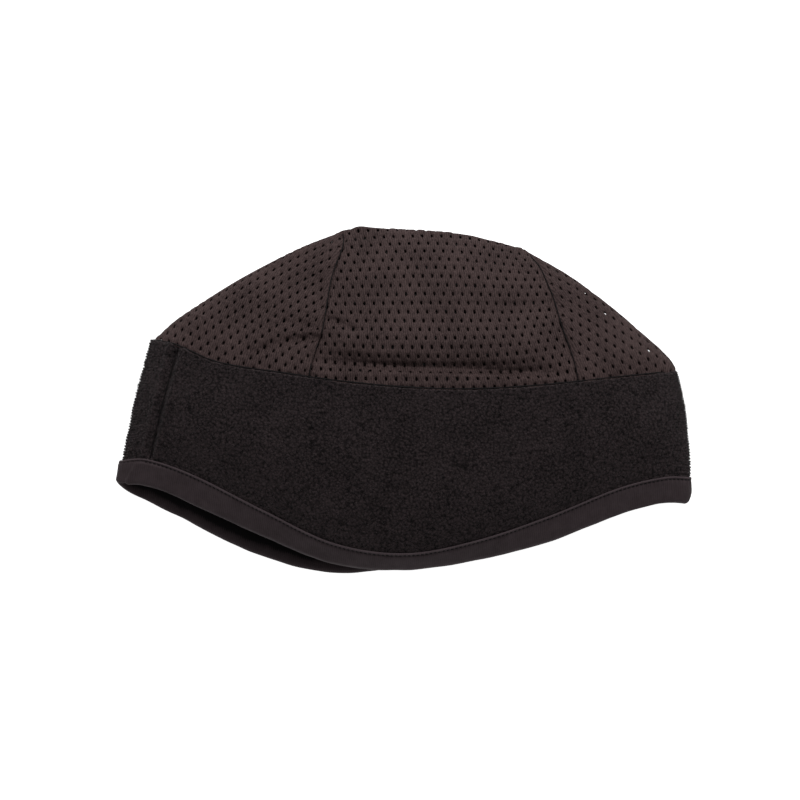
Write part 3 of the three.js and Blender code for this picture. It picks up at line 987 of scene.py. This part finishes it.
class CAP_OT_crown(bpy.types.Operator):
    """Cuts the three crown panels from eyelet mesh and lays them on the cap"""

    bl_idname = "cap.make_crown"
    bl_label = "Crown Panels"

    def execute(self, context):
        settings = context.scene.cap_mesh
        material = make_mesh_cloth(settings)
        size = (settings.eyelet_width / MM, settings.eyelet_length / MM)
        panels = {
            "crown_centre_panel": (centre_grid(), centre_place, ("nape", "brow")),
            "crown_nape_panel": (end_grid("nape", 0.0), end_place(0.0), ("nape",)),
            "crown_brow_panel": (end_grid("brow", 1.0), end_place(1.0), ("brow",)),
        }
        thread = new_piece("crown_seam_threads", *seam_threads(), make_thread(context.scene.cap_binding))
        for name, ((first, second), place, seams) in panels.items():
            rows, columns = first.shape
            near, share, level = place(first, second)
            points = cap_points(near, share, level, MESH_SUNK).reshape(-1, 3)
            grid = np.arange(rows * columns).reshape(rows, columns)
            corners = (grid[:-1, :-1], grid[:-1, 1:], grid[1:, 1:], grid[1:, :-1])
            quads = np.stack([corner.ravel() for corner in corners], axis=1)
            flat = lay_flat(points, quads)
            rim = np.concatenate([grid[0, :-1], grid[:-1, -1], grid[-1, :0:-1], grid[:0:-1, 0]])
            outline = even_outline(flat[rim], OUTLINE_STEP)
            seen = near.ravel() & (points[:, 2] > SEEN_HEIGHT)
            pattern = pattern_in_flat(flat, points[:, :2], seen, PATTERNS[name])
            eyelets = Eyelets(*pattern, outline, size)
            folds = [flat[grid[r]] for r in turned_rows(level[:, 0])]
            folds += crease_lines(points.reshape(*grid.shape, 3), near, flat[grid])
            cut, triangles = cut_cloth(outline, folds, eyelets)
            halves = np.concatenate([quads[:, [0, 1, 2]], quads[:, [0, 2, 3]]])
            places = np.column_stack([first.ravel(), second.ravel()])
            at = values_at(cut, flat, halves, places)
            near, share, level = place(at[:, 0], at[:, 1])
            outer = crown_points(near, share, level, seams)
            normals = vertex_normals(outer, triangles)
            if normals[near & (outer[:, 2] > SEEN_HEIGHT), 2].mean() < 0:
                triangles = triangles[:, ::-1]
                normals = -normals
            on_edge = np.abs(eyelets.reach(cut) - 1) < EDGE_NEAR
            outer = outer - normals * (EYELET_SINK * on_edge)[:, None]
            inner = outer - normals * (settings.thickness / MM)
            all_points, faces = shell(outer, inner, triangles)
            cloth = np.column_stack([cut @ eyelets.weft, cut @ eyelets.wale])
            cloth = np.concatenate([cloth, cloth])
            piece = new_piece(name + "_cloth", all_points, faces, material, cloth)
            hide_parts(name)
        return {"FINISHED"}


def seam_threads():
    """Points and faces of the dark thread that shows in each seam."""
    level = np.arange(TURN_LEVEL + 0.5, CROWN_TOP - 1.0, THREAD_STEP)
    cores = []
    for seam in SEAMS:
        for near in (True, False):
            depth = mesh_depth(level) + SEAM_SINK + THREAD_SUNK
            core = cap_points(near, seam_share(seam, near, level), level, depth)
            core[:, 2] += THREAD_LIFT if near else SEAM_THREAD
            cores.append((core, SEAM_THREAD))
    near, share = round_head(EDGE_STEPS, EDGE_STEPS)
    edge_level = np.full_like(share, TURN_LEVEL + 1.0)
    edge = cap_points(near, share, edge_level, MESH_SUNK + EDGE_DIP - THREAD_SUNK)
    cores.append((np.concatenate([edge, edge[:1]]), EDGE_THREAD))
    level = np.arange(BAND_FOOT + 1, BAND_TOP - 0.5, JOIN_STEP)
    cores.append((cap_points(True, np.full_like(level, JOIN_SHARE), level, JOIN_DEEP), SEAM_THREAD))
    tubes = []
    for core, thickness in cores:
        run = unit(np.gradient(core, axis=0))
        side = unit(np.cross(run, (0, 0, 1)))
        radius = thickness * (THREAD_LEAN + swells(core, THREAD_LUMPS))
        tubes.append(tube(core, side, np.cross(side, run), radius))
    return joined_tubes(tubes)


def crease_lines(points, near, flat):
    """Flat lines along the bottom and the top of the crease's steep wall."""
    above = points[..., 1] - np.interp(points[..., 0], CREASE_X, CREASE_Y)
    inside = (points[..., 0] > CREASE["left"][0]) & (points[..., 0] < CREASE["right"][1])
    lines = []
    for height in (0.0, -CREASE["wall"]):
        line = []
        for column_at in range(points.shape[1]):
            rows = np.flatnonzero(near[:, column_at] & inside[:, column_at])
            line_above = above[rows, column_at] - height
            crossing = np.flatnonzero(np.diff(np.sign(line_above)) != 0)
            if len(crossing):
                low, high = rows[crossing[0]], rows[crossing[0] + 1]
                t = line_above[crossing[0]] / (line_above[crossing[0]] - line_above[crossing[0] + 1])
                line.append(flat[low, column_at] * (1 - t) + flat[high, column_at] * t)
        if len(line) > 3:
            lines.append(np.array(line))
    return lines


def turned_rows(level):
    """Rows of a crown grid along which the cloth turns in and down."""
    bends = (TURN_LEVEL, TURN_LEVEL - TURN_IN)
    return [row for row, at in enumerate(level) if min(abs(at - bend) for bend in bends) < 1e-6]


# The fleece band.

# Rows up the outer and down the inner face, steps round each layer, the foot of the outer face,
# how far the band is pulled in at the binding, its rounded top edge, and the levels at which its
# tongue ends and bends inside the binding.
OUTER_ROWS = 156
INNER_ROWS = 12
NEAR_STEPS, FAR_STEPS = 400, 130
BAND_FOOT = HEM_TOP + 0.1
PULL_IN, PULL_REACH = 0.65, 3.5
TOP_ROUND = {"from": 0.75, "radius": 0.65}
TONGUE_FOOT, TONGUE_HEM = 1.6, 7.0

# How far the band swells: the lumps of its pile by height, size and place, the rims of its join
# and how near it no loose fibres grow, its full brow fold, its nape fold, which is full at the
# top and slack low down, and the scallops of the pile along both folds.
PILE_LUMPS = ((0.34, 1.2, 0.0), (0.14, 2.4, 7.0), (0.35, 17.0, 3.0))
JOIN_RIM = {"height": 0.5, "away": 3.2, "width": 1.4}
BARE_JOIN = 1.4
BROW_FULL = {"height": 0.6, "shares": (0.93, 1.0), "levels": (35, 60)}
NAPE_SHARE = 0.05
NAPE_FULL = {"height": 0.15, "levels": (82, 88)}
NAPE_SLACK = {"height": 0.45, "levels": (32, 45)}
SCALLOP = {"height": 0.42, "length": 1.8, "reach": 0.02, "lumps": (2, 8.0, 4.0)}

# Level at which the band's flat length is measured. Then the least and most of a fibre's lift, of
# its share of the full length and of its thickness, and how deep it is rooted.
FIBRE = {"lift": (0.1, 0.6), "length": (0.55, 1.25), "thick": (0.06, 0.11), "root": 0.1}


def band_section():
    """Rows of the band's wall: up its outer face, over the top edge, down inside, and round the
    tongue that the binding holds. Each row is a level and a depth."""
    top = BAND_TOP - TOP_ROUND["from"]
    outer = [(level, 0.0) for level in np.linspace(BAND_FOOT, top, OUTER_ROWS)]
    turn = np.radians(np.arange(10, 91, 16))
    edge = top + TOP_ROUND["radius"] * np.sin(turn)
    sunk = TOP_ROUND["radius"] * (1 - np.cos(turn))
    over = list(zip(edge, sunk))
    back = list(zip(edge[::-1], FLEECE_THICK - sunk[::-1]))
    down = np.linspace(BAND_TOP - 1.0, HEM_TOP + 0.6, INNER_ROWS)
    inner = [(level, FLEECE_THICK) for level in down]
    near_side, far_side = TONGUE
    tongue = [(level, far_side) for level in (BAND_FOOT, TONGUE_HEM, TONGUE_FOOT)]
    tongue += [(level, near_side) for level in (TONGUE_FOOT, TONGUE_HEM, HEM_TOP - 0.2)]
    return np.array([*outer, *over, *back, *inner, *tongue])


def band_points():
    """The band's displaced points and normals as a grid, with its rows."""
    section = band_section()
    near, share = round_head(NEAR_STEPS, FAR_STEPS)
    level, depth = section[:, 0][:, None], section[:, 1][:, None]
    points = cap_points(near[None], share[None], level, depth)
    normals = outward(grid_normals(points), OUTER_ROWS // 2, NEAR_STEPS // 2)
    outside = (depth < 1.0) & (level > HEM_TOP)
    fade = smoothstep(level, HEM_TOP, HEM_TOP + 2) * outside
    from_join = np.where(near, (share - JOIN_SHARE) * width_at(section[:, 0])[:, None], 99)
    groove = -JOIN_DEPTH * bell(from_join, JOIN_WIDTH)
    rim = JOIN_RIM["height"] * bell(np.abs(from_join) - JOIN_RIM["away"], JOIN_RIM["width"])
    pile = swells(points, *PILE_LUMPS)
    full = BROW_FULL["height"] * smoothstep(share, *BROW_FULL["shares"])
    full = full * smoothstep(level, *BROW_FULL["levels"])
    at_nape = 1 - smoothstep(share, 0, NAPE_SHARE)
    slack = NAPE_SLACK["height"] * (1 - smoothstep(level, *NAPE_SLACK["levels"]))
    high = NAPE_FULL["height"] * smoothstep(level, *NAPE_FULL["levels"])
    full = full + at_nape * (high - slack)
    at_fold = np.exp(-(np.minimum(share, 1 - share) / SCALLOP["reach"]))
    shift = swells(points, SCALLOP["lumps"])
    wave = np.cos(level / SCALLOP["length"] * 2 * math.pi + shift)
    full = full + SCALLOP["height"] * at_fold * wave
    pull = -PULL_IN * np.exp(-(level - HEM_TOP) / PULL_REACH) * outside
    lift = (pile + groove + rim + full) * fade + pull
    points = above_floor(points + normals * lift[..., None])
    return points, normals, section, np.abs(from_join) > BARE_JOIN


def make_fleece(settings):
    """Brushed fleece: nubs of matted fibre with pits between them, darkened as painted shade,
    and no gloss.
    """
    material, tree, shader = material_nodes("fleece", settings.colour, 0.95, 0.05, 0.05)
    place = add_node(tree, "ShaderNodeTexCoord", {}).outputs["Object"]
    inputs = {"Scale": 850.0, "Randomness": 1.0, "Vector": place}
    nubs = add_node(tree, "ShaderNodeTexVoronoi", inputs)
    clumps = speckle(tree, 720.0, 4.0, 0.75)
    hairs = speckle(tree, 1500.0, 3.0, 0.8)
    patches = speckle(tree, 70.0, 2.0, 0.5)
    rough = mix_heights(tree, clumps, hairs, 0.5)
    # Painted shade: the colour is made darker in the pits between the nubs, which also bump the surface.
    between = calculate(tree, "MULTIPLY", nubs.outputs["Distance"], 0.4)
    pits_and_shade = calculate(tree, "SUBTRACT", rough, between)
    tone = mix_heights(tree, pits_and_shade, patches, 0.16)
    dark, light = tint(settings.colour, (0.26, 0.24, 0.23)), tint(settings.colour, (3.5, 3.25, 3.15))
    colour_between(tree, shader, tone, dark, light, (0.18, 0.56))
    add_bump(tree, shader, pits_and_shade, 1.0, 0.0013)
    return material


def make_pile(settings):
    """Loose fibres of the pile, a few of them paler than the cloth beneath."""
    material, tree, shader = material_nodes("fleece_pile", settings.colour, 0.85, 0.08, 0.05)
    tone = speckle(tree, 1500.0, 2.0, 0.7)
    dark, light = shade(settings.colour, 0.4), shade(settings.colour, 5.5)
    colour_between(tree, shader, tone, dark, light, (0.45, 0.72))
    return material


def fibres(points, normals, grows, count, length, seed):
    """Thin closed spikes where they grow on a grid surface, matted down in all directions."""
    rng = np.random.default_rng(seed)
    a, b, c, d = points[:-1, :-1], points[:-1, 1:], points[1:, 1:], points[1:, :-1]
    area = (np.linalg.norm(np.cross(c - a, d - b), axis=-1) * grows[:-1, :-1]).ravel()
    quad = rng.choice(area.size, count, p=area / area.sum())
    u, v = rng.random((2, count, 1))
    a, b, c, d = (grid.reshape(-1, 3)[quad] for grid in (a, b, c, d))
    root = (a * (1 - u) + b * u) * (1 - v) + (d * (1 - u) + c * u) * v
    up = normals[:-1, :-1].reshape(-1, 3)[quad]
    side = unit(np.cross(up, rng.normal(size=(count, 3))))
    lift = rng.uniform(*FIBRE["lift"], (count, 1))
    aim = unit(side + up * lift)
    long = length * rng.uniform(*FIBRE["length"], (count, 1))
    thick = rng.uniform(*FIBRE["thick"], (count, 1))
    tip = root + aim * long
    first = unit(np.cross(aim, up))
    second = np.cross(aim, first)
    base = []
    for turn in (2 * math.pi * k / 3 for k in range(3)):
        round_root = first * math.cos(turn) + second * math.sin(turn)
        base.append(root - up * FIBRE["root"] + thick * round_root)
    made = np.stack([*base, tip], axis=1).reshape(-1, 3)
    start = 4 * np.arange(count)[:, None]
    faces = np.concatenate([start + f for f in ((0, 1, 3), (1, 2, 3), (2, 0, 3), (0, 2, 1))])
    return made, faces


class CAP_OT_fleece(bpy.types.Operator):
    """Makes the fleece band and its brushed pile"""

    bl_idname = "cap.make_fleece"
    bl_label = "Fleece Band"

    def execute(self, context):
        settings = context.scene.cap_fleece
        points, normals, section, grows = band_points()
        rows, columns = points.shape[:2]
        steps = np.diff(points[OUTER_ROWS // 2], axis=0, prepend=0)
        round_it = np.cumsum(np.linalg.norm(steps, axis=1))
        cloth = np.stack(np.broadcast_arrays(round_it[None], section[:, 0][:, None]), axis=-1)
        band = new_piece(
            "fleece_band_cloth",
            points.reshape(-1, 3),
            ring_faces(rows, columns),
            make_fleece(settings),
            cloth.reshape(-1, 2),
        )
        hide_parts("fleece_band")
        pile_material = make_pile(settings)
        layers = {"near": slice(0, NEAR_STEPS + 1), "far": slice(NEAR_STEPS, NEAR_STEPS + FAR_STEPS)}
        for seed, (layer, part) in enumerate(layers.items()):
            grids = (grid[: OUTER_ROWS + 3, part] for grid in (points, normals, grows))
            length = settings.pile_length / MM
            made, spikes = fibres(*grids, settings.pile_count, length, seed + 11)
            pile = new_piece(f"fleece_pile_{layer}", above_floor(made), spikes, pile_material)
        return {"FINISHED"}


# The hem.

# The stitches: their level, the x from which those of the near layer show, which are the ones
# above a height, half their length as a share of their step, how far they stand out and how far
# their ends sink as shares of the thread's radius, and the thread's shape by place and width.
STITCH_LEVEL = 10.1
STITCHES_FROM, STITCHES_UNDER = -122.0, 4
STITCH_HALF = 0.32
STITCH_OUT, STITCH_SINK = 0.55, 0.35
STITCH_PROFILE = (
    (-1.0, 0.05),
    (-0.88, 0.6),
    (-0.5, 0.95),
    (0.0, 1.0),
    (0.5, 0.95),
    (0.88, 0.6),
    (1.0, 0.05),
)

# The binding: its rows and columns, its rounded foot, its ridge at the top fold, the groove and
# the puckers along the stitches, its lumps by height, size and place, where it is fuller and up
# to which level, its lap at the nape, the painted shade of its inner side, and its two corners.
BINDING_ROWS = 30
LINED_ROWS = 6
BINDING_STEPS = (430, 400)
HEM_ROUND = 1.8
RIDGE_LEVEL = 11.3
RIDGE = {"height": 0.32, "width": 0.38, "waves": 0.3, "lumps": (0.5, 3.0, 2.0)}
RIDGE_ENDS = {"nape": (0.004, 0.03), "brow": (0.98, 1.0), "less": 0.5}
GROOVE = {"deep": 0.28, "less": 0.2, "width": 0.5}
STITCH_PUCKER = {"height": 0.12, "level": 8.6, "width": 1.3}
HEM_LUMPS = (0.22, 9.0, 5.0)
NEAR_FULL = {"height": 0.85, "share": 0.76, "width": 0.12}
FAR_FULL = {"height": 0.6, "shares": (0.095, 0.155)}
FULL_LEVELS = (3, 10)
HEM_LAP = {"height": 0.85, "edge": 0.0164, "slant": 0.0015, "levels": (9.1, 10.6)}
LAP_RISE, LAP_END = (-0.002, 0.002), (0.02, 0.07)
INSIDE_PAINTED_SHADE = {"plain_to": 1.5, "dark_at": 7.5, "darker": 1.0, "shade": 0.2}
NAPE_CORNER = {"share": 0.012, "width": 0.02, "out": 1.0, "down": 1.0}
OUT_LEVELS, DOWN_LEVELS = (11.0, 13.5), (1, 7)
BROW_CORNER = {"in": 1.3, "height": 3.2, "shares": (0.975, 1)}


def binding_section():
    """Rows of the binding, from its outer top edge down round the hem and up inside, and back
    along the side that touches the fleece. Each row is a level and a depth."""
    middle = BINDING_INNER / 2
    top = HEM_TOP - 0.1
    down = np.linspace(top - 0.3, HEM_ROUND, BINDING_ROWS)
    outer = [(top - 0.05, 0.25), *((level, 0.0) for level in down)]
    turn = np.radians(np.arange(12, 169, 13))
    under = [(HEM_ROUND - HEM_ROUND * math.sin(a), middle * (1 - math.cos(a))) for a in turn]
    inner = [(level, BINDING_INNER) for level in np.linspace(HEM_ROUND, top - 0.3, 14)]
    inner.append((top, BINDING_INNER - 0.25))
    lined = [(level, BINDING_INNER - BINDING_THICK) for level in (top, 6.0, 1.1)]
    lined += [(level, BINDING_THICK) for level in (1.1, 6.0, top)]
    return np.array([*outer, *under, *inner, *lined])


def along_hem(points):
    """Distance round the head of each column of a row."""
    steps = np.linalg.norm(np.roll(points, -1, axis=0) - points, axis=1)
    return np.concatenate([[0], np.cumsum(steps)])


def stitch_row(section):
    """The row of the binding that the stitches follow."""
    return np.argmin(np.abs(section[:BINDING_ROWS, 0] - STITCH_LEVEL))


def binding_points(stitch):
    """The binding's points as a grid, with its stitch groove, top ridge and lap."""
    section = binding_section()
    near, share = round_head(*BINDING_STEPS)
    level, depth = section[:, 0][:, None], section[:, 1][:, None]
    points = cap_points(near[None], share[None], level, depth)
    normals = outward(grid_normals(points), BINDING_ROWS // 2, BINDING_STEPS[0] // 2)
    along = along_hem(points[stitch_row(section)])
    count = round(along[-1] / stitch)
    phase = along[:-1] / along[-1] * count * 2 * math.pi
    outside = np.arange(len(section))[:, None] < len(section) - LINED_ROWS
    uneven = 1 + RIDGE["waves"] * np.cos(phase) + swells(points, RIDGE["lumps"])
    ridge = RIDGE["height"] * uneven * bell(level - RIDGE_LEVEL, RIDGE["width"])
    less = RIDGE_ENDS["less"] * smoothstep(share, *RIDGE_ENDS["brow"])
    ridge = ridge * smoothstep(share, *RIDGE_ENDS["nape"]) * (1 - less)
    groove = GROOVE["less"] * np.cos(phase) - GROOVE["deep"]
    groove = groove * bell(level - STITCH_LEVEL, GROOVE["width"])
    pucker = bell(level - STITCH_PUCKER["level"], STITCH_PUCKER["width"])
    pucker = STITCH_PUCKER["height"] * np.cos(phase) * pucker
    near_full = NEAR_FULL["height"] * bell(share - NEAR_FULL["share"], NEAR_FULL["width"])
    far_full = FAR_FULL["height"] * smoothstep(share, *FAR_FULL["shares"])
    swell = swells(points, HEM_LUMPS) + np.where(near, near_full, far_full)
    swell = swell * (1 - smoothstep(level, *FULL_LEVELS))
    from_edge = share - HEM_LAP["edge"] - HEM_LAP["slant"] * level
    over = smoothstep(from_edge, *LAP_RISE) * (1 - smoothstep(from_edge, *LAP_END)) * near
    lap = HEM_LAP["height"] * over * (1 - smoothstep(level, *HEM_LAP["levels"]))
    lift = (ridge + groove + pucker + swell + lap) * outside
    points = points + normals * lift[..., None]
    near_nape = bell(share - NAPE_CORNER["share"], NAPE_CORNER["width"])
    points[..., 0] -= NAPE_CORNER["out"] * near_nape * (1 - smoothstep(level, *OUT_LEVELS))
    points[..., 1] -= NAPE_CORNER["down"] * near_nape * (1 - smoothstep(level, *DOWN_LEVELS))
    low = bell(level, BROW_CORNER["height"])
    points[..., 0] -= BROW_CORNER["in"] * low * smoothstep(share, *BROW_CORNER["shares"])
    return above_floor(points), normals, section, along, count


def hem_stitches(path, up, along, count, radius):
    """Points and faces of the stitches, evenly spaced on a closed line round the hem."""
    path, up = (np.concatenate([line, line[:1]]) for line in (path, up))
    place, width = np.array(STITCH_PROFILE).T
    out_by = radius * (STITCH_OUT - STITCH_SINK * place**2)[:, None]
    step = along[-1] / count
    tubes = []
    for centre in (np.arange(count) + 0.5) * step:
        at = centre + STITCH_HALF * step * place
        core = at_places(at, along, path)
        if core[0, 0] < STITCHES_FROM and core[0, 2] > STITCHES_UNDER:
            continue
        out = unit(at_places(at, along, up))
        side = np.cross(unit(core[-1] - core[0]), out)
        tubes.append(tube(core + out * out_by, side, out, radius * width))
    return joined_tubes(tubes)


def make_jersey(settings):
    """Smooth jersey: faint upright ribs, uneven tone, a painted highlight along its top fold, and
    painted shade on its side inside the cap."""
    material, tree, shader = material_nodes("binding", settings.colour, 0.75, 0.08, 0.03)
    cloth = cloth_place(tree)
    inputs = {"Scale": 0.33, "Distortion": 2.5, "Detail": 2.0, "Vector": cloth}
    ribs = add_node(tree, "ShaderNodeTexWave", inputs, bands_direction="X")
    uneven = speckle(tree, 170.0, 4.0, 0.65)
    height = mix_heights(tree, uneven, ribs.outputs["Fac"], 0.2)
    up_cloth = add_node(tree, "ShaderNodeSeparateXYZ", {"Vector": cloth}).outputs["Y"]
    # Painted highlight: the cloth is made paler from just under the ridge up over its top fold.
    fold = (RIDGE_LEVEL - 0.75, RIDGE_LEVEL - 0.2, 0.0, 0.42)
    # Painted shade: the cloth is made darker down its inner side, where the cap shades it.
    inside = (-INSIDE_PAINTED_SHADE["dark_at"], -INSIDE_PAINTED_SHADE["plain_to"], -INSIDE_PAINTED_SHADE["darker"], 0.0)
    tone = height
    for values in (fold, inside):
        inputs = dict(zip(("From Min", "From Max", "To Min", "To Max"), values), Value=up_cloth)
        more = add_node(tree, "ShaderNodeMapRange", inputs, interpolation_type="SMOOTHSTEP")
        tone = calculate(tree, "ADD", tone, more.outputs["Result"])
    # Colour of the deepest painted shade, low on the inner side.
    deepest_painted_shade = shade(settings.colour, INSIDE_PAINTED_SHADE["shade"])
    dark, light = tint(settings.colour, (1.02, 0.9, 0.9)), tint(settings.colour, (2.2, 2.05, 2.05))
    colour_between(tree, shader, tone, dark, light, (0.25, 1.0), deepest_painted_shade)
    add_bump(tree, shader, height, 0.35, 0.0003)
    return material


def make_thread(settings):
    """Black sewing thread with a fine twist."""
    material, tree, shader = material_nodes("thread", settings.colour, 0.6, 0.1, 0.0)
    tone = speckle(tree, 3000.0, 1.0, 0.5)
    colour_between(tree, shader, tone, shade(settings.colour, 0.08), shade(settings.colour, 0.3))
    add_bump(tree, shader, tone, 0.4, 0.0001)
    return material


class CAP_OT_hem(bpy.types.Operator):
    """Makes the jersey binding of the hem and its row of stitches"""

    bl_idname = "cap.make_hem"
    bl_label = "Hem Binding"

    def execute(self, context):
        settings = context.scene.cap_binding
        points, normals, section, along, count = binding_points(settings.stitch_length / MM)
        rows, columns = points.shape[:2]
        inner_side = section[:, 1] > BINDING_INNER / 2
        # The inner side's level counts down from 0, so that the jersey paints shade on it.
        up_cloth = np.where(inner_side, -section[:, 0], section[:, 0])
        cloth = np.stack(np.broadcast_arrays(along[:-1][None], up_cloth[:, None]), axis=-1)
        binding = new_piece(
            "hem_binding_cloth",
            points.reshape(-1, 3),
            ring_faces(rows, columns),
            make_jersey(settings),
            cloth.reshape(-1, 2),
        )
        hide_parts("hem_binding")
        row = stitch_row(section)
        radius = settings.thread_width / MM / 2
        sewn = hem_stitches(points[row], normals[row], along, count, radius)
        stitches = new_piece("hem_stitches", *sewn, make_thread(settings))
        return {"FINISHED"}


# The stage.

# The picture's width in pixels, the pixel over the frame's origin, and the height of the cap at
# which the picture's width is measured.
PICTURE_WIDTH = 800
ORIGIN_PIXEL = (404.5, 400.0)
FRAME_HEIGHT = 0.01
SENSOR_WIDTH = 36.0
VIEW_REACH = 30.0

# The floor, and its painted shadow, a dark sheet under the cap: how far that stays inside the
# cap's outline, with a wider margin beside the folds between some levels. Then the place and size
# of each light.
FLOOR_REACH = 6.0
UNDER_MARGIN, OPEN_MARGIN = 3.6, 7.0
OPEN_LEVELS = (94.0, 104.0, 134.0, 146.0)
UNDER_HEIGHT = 0.000005
PAINTED_SHADOW_TONE = 0.12
LIGHTS = {"key": ((0.35, 1.45, 1.35), 0.8), "fill": ((-0.8, 0.9, 1.6), 1.2)}


def flat_stage(name, outline, height, material):
    """A flat face of the stage."""
    mesh = bpy.data.meshes.new(name)
    mesh.from_pydata([(x, y, height) for x, y in outline], [], [range(len(outline))])
    mesh.materials.append(material)
    piece = bpy.data.objects.new(name, mesh)
    bpy.context.scene.collection.objects.link(piece)


def painted_shadow_outline():
    """Outline of the painted shadow, a dark sheet on the floor under the cap, some way inside its
    edge, and further in beside the crown's folds, where light comes through the eyelets."""
    t = np.linspace(0, 1, 40)
    rise = np.linspace(0, CROWN_TOP, 60)[1:-1]
    hem = cap_points(True, t[::-1], np.zeros_like(t), 0)
    lower = np.minimum(hem[:, 1], cap_points(False, t[::-1], np.zeros_like(t), 0)[:, 1])
    nape = cap_points(False, np.zeros_like(rise), rise, 0)[:, :2]
    top = cap_points(True, t, np.full_like(t, CROWN_TOP), 0)[:, :2]
    brow = cap_points(False, np.ones_like(rise), rise[::-1], 0)[:, :2]
    outline = np.concatenate([nape, top, brow, np.column_stack([hem[:, 0], lower])])
    middle = outline.mean(axis=0)
    inward = middle - outline
    lit = smoothstep(rise, *OPEN_LEVELS[:2]) * (1 - smoothstep(rise, *OPEN_LEVELS[2:]))
    folds = UNDER_MARGIN + (OPEN_MARGIN - UNDER_MARGIN) * lit
    plain = np.full(len(t), UNDER_MARGIN)
    margin = np.concatenate([folds, plain, folds[::-1], plain])
    return (outline + unit(inward) * margin[:, None]) * MM


def area_light(name, place, size, power):
    """A square soft light that faces the cap."""
    data = bpy.data.lights.new(name, "AREA")
    data.size = size
    data.energy = power
    light = bpy.data.objects.new(name, data)
    light.location = place
    light.rotation_euler = (-Vector(place)).to_track_quat("-Z", "Y").to_euler()
    bpy.context.scene.collection.objects.link(light)


class CAP_OT_stage(bpy.types.Operator):
    """Makes the floor, the soft light and the camera straight above"""

    bl_idname = "cap.make_stage"
    bl_label = "Stage"

    def execute(self, context):
        settings = context.scene.cap_stage
        scene = context.scene
        scene.view_settings.view_transform = "Standard"
        world = bpy.data.worlds.new("studio")
        world.use_nodes = True
        background = world.node_tree.nodes["Background"]
        background.inputs["Color"].default_value = (1.0, 1.0, 1.0, 1)
        background.inputs["Strength"].default_value = settings.sky_strength
        scene.world = world
        floor, _, shader = material_nodes("floor", settings.floor_colour, 0.9, 0.1, 0.0)
        shader.inputs["Emission Color"].default_value = (1.0, 1.0, 1.0, 1)
        shader.inputs["Emission Strength"].default_value = settings.floor_glow
        corners = [(-FLOOR_REACH, -FLOOR_REACH), (FLOOR_REACH, -FLOOR_REACH)]
        corners += [(FLOOR_REACH, FLOOR_REACH), (-FLOOR_REACH, FLOOR_REACH)]
        flat_stage("floor", corners, 0.0, floor)
        # Painted shadow: a dark sheet on the glowing floor under the cap, standing for the shade that
        # the cap casts.
        dark = shade(settings.floor_colour, PAINTED_SHADOW_TONE)
        shadow, _, _ = material_nodes("floor_painted_shadow", dark, 0.9, 0.1, 0.0)
        flat_stage("floor_painted_shadow", painted_shadow_outline().tolist(), UNDER_HEIGHT, shadow)
        area_light("key", *LIGHTS["key"], settings.key_power)
        area_light("fill", *LIGHTS["fill"], settings.fill_power)
        camera_data = bpy.data.cameras.new("camera")
        height = settings.camera_height
        camera_data.sensor_width = SENSOR_WIDTH
        camera_data.lens = SENSOR_WIDTH * height / settings.frame_width
        camera_data.clip_end = VIEW_REACH
        camera = bpy.data.objects.new("camera", camera_data)
        pixel = settings.frame_width / PICTURE_WIDTH
        middle_x = (PICTURE_WIDTH / 2 - ORIGIN_PIXEL[0]) * pixel
        middle_y = (ORIGIN_PIXEL[1] - PICTURE_WIDTH / 2) * pixel
        camera.location = (middle_x, middle_y, height + FRAME_HEIGHT)
        scene.collection.objects.link(camera)
        scene.camera = camera
        return {"FINISHED"}


class CAP_PT_sidebar(bpy.types.Panel):
    """Lists the cap's pieces and their settings"""

    bl_idname = "CAP_PT_sidebar"
    bl_label = "Skull Cap"
    bl_space_type = "VIEW_3D"
    bl_region_type = "UI"
    bl_category = "Cap"

    def draw(self, context):
        layout = self.layout
        groups = (
            (CAP_OT_stage, context.scene.cap_stage),
            (CAP_OT_crown, context.scene.cap_mesh),
            (CAP_OT_fleece, context.scene.cap_fleece),
            (CAP_OT_hem, context.scene.cap_binding),
        )
        for operator, settings in groups:
            box = layout.box()
            for name in settings.__annotations__:
                box.prop(settings, name)
            box.operator(operator.bl_idname)


SETTINGS = {
    "cap_stage": CapStage,
    "cap_mesh": CapMeshCloth,
    "cap_fleece": CapFleece,
    "cap_binding": CapBinding,
}
CLASSES = (*SETTINGS.values(), CAP_OT_stage, CAP_OT_crown, CAP_OT_fleece, CAP_OT_hem, CAP_PT_sidebar)


def register():
    for cls in CLASSES:
        bpy.utils.register_class(cls)
    for name, cls in SETTINGS.items():
        setattr(bpy.types.Scene, name, bpy.props.PointerProperty(type=cls))


def unregister():
    for name in SETTINGS:
        delattr(bpy.types.Scene, name)
    for cls in reversed(CLASSES):
        bpy.utils.unregister_class(cls)


def main():
    register()
    bpy.ops.cap.make_stage()
    bpy.ops.cap.make_crown()
    bpy.ops.cap.make_fleece()
    bpy.ops.cap.make_hem()


if __name__ == "__main__":
    main()
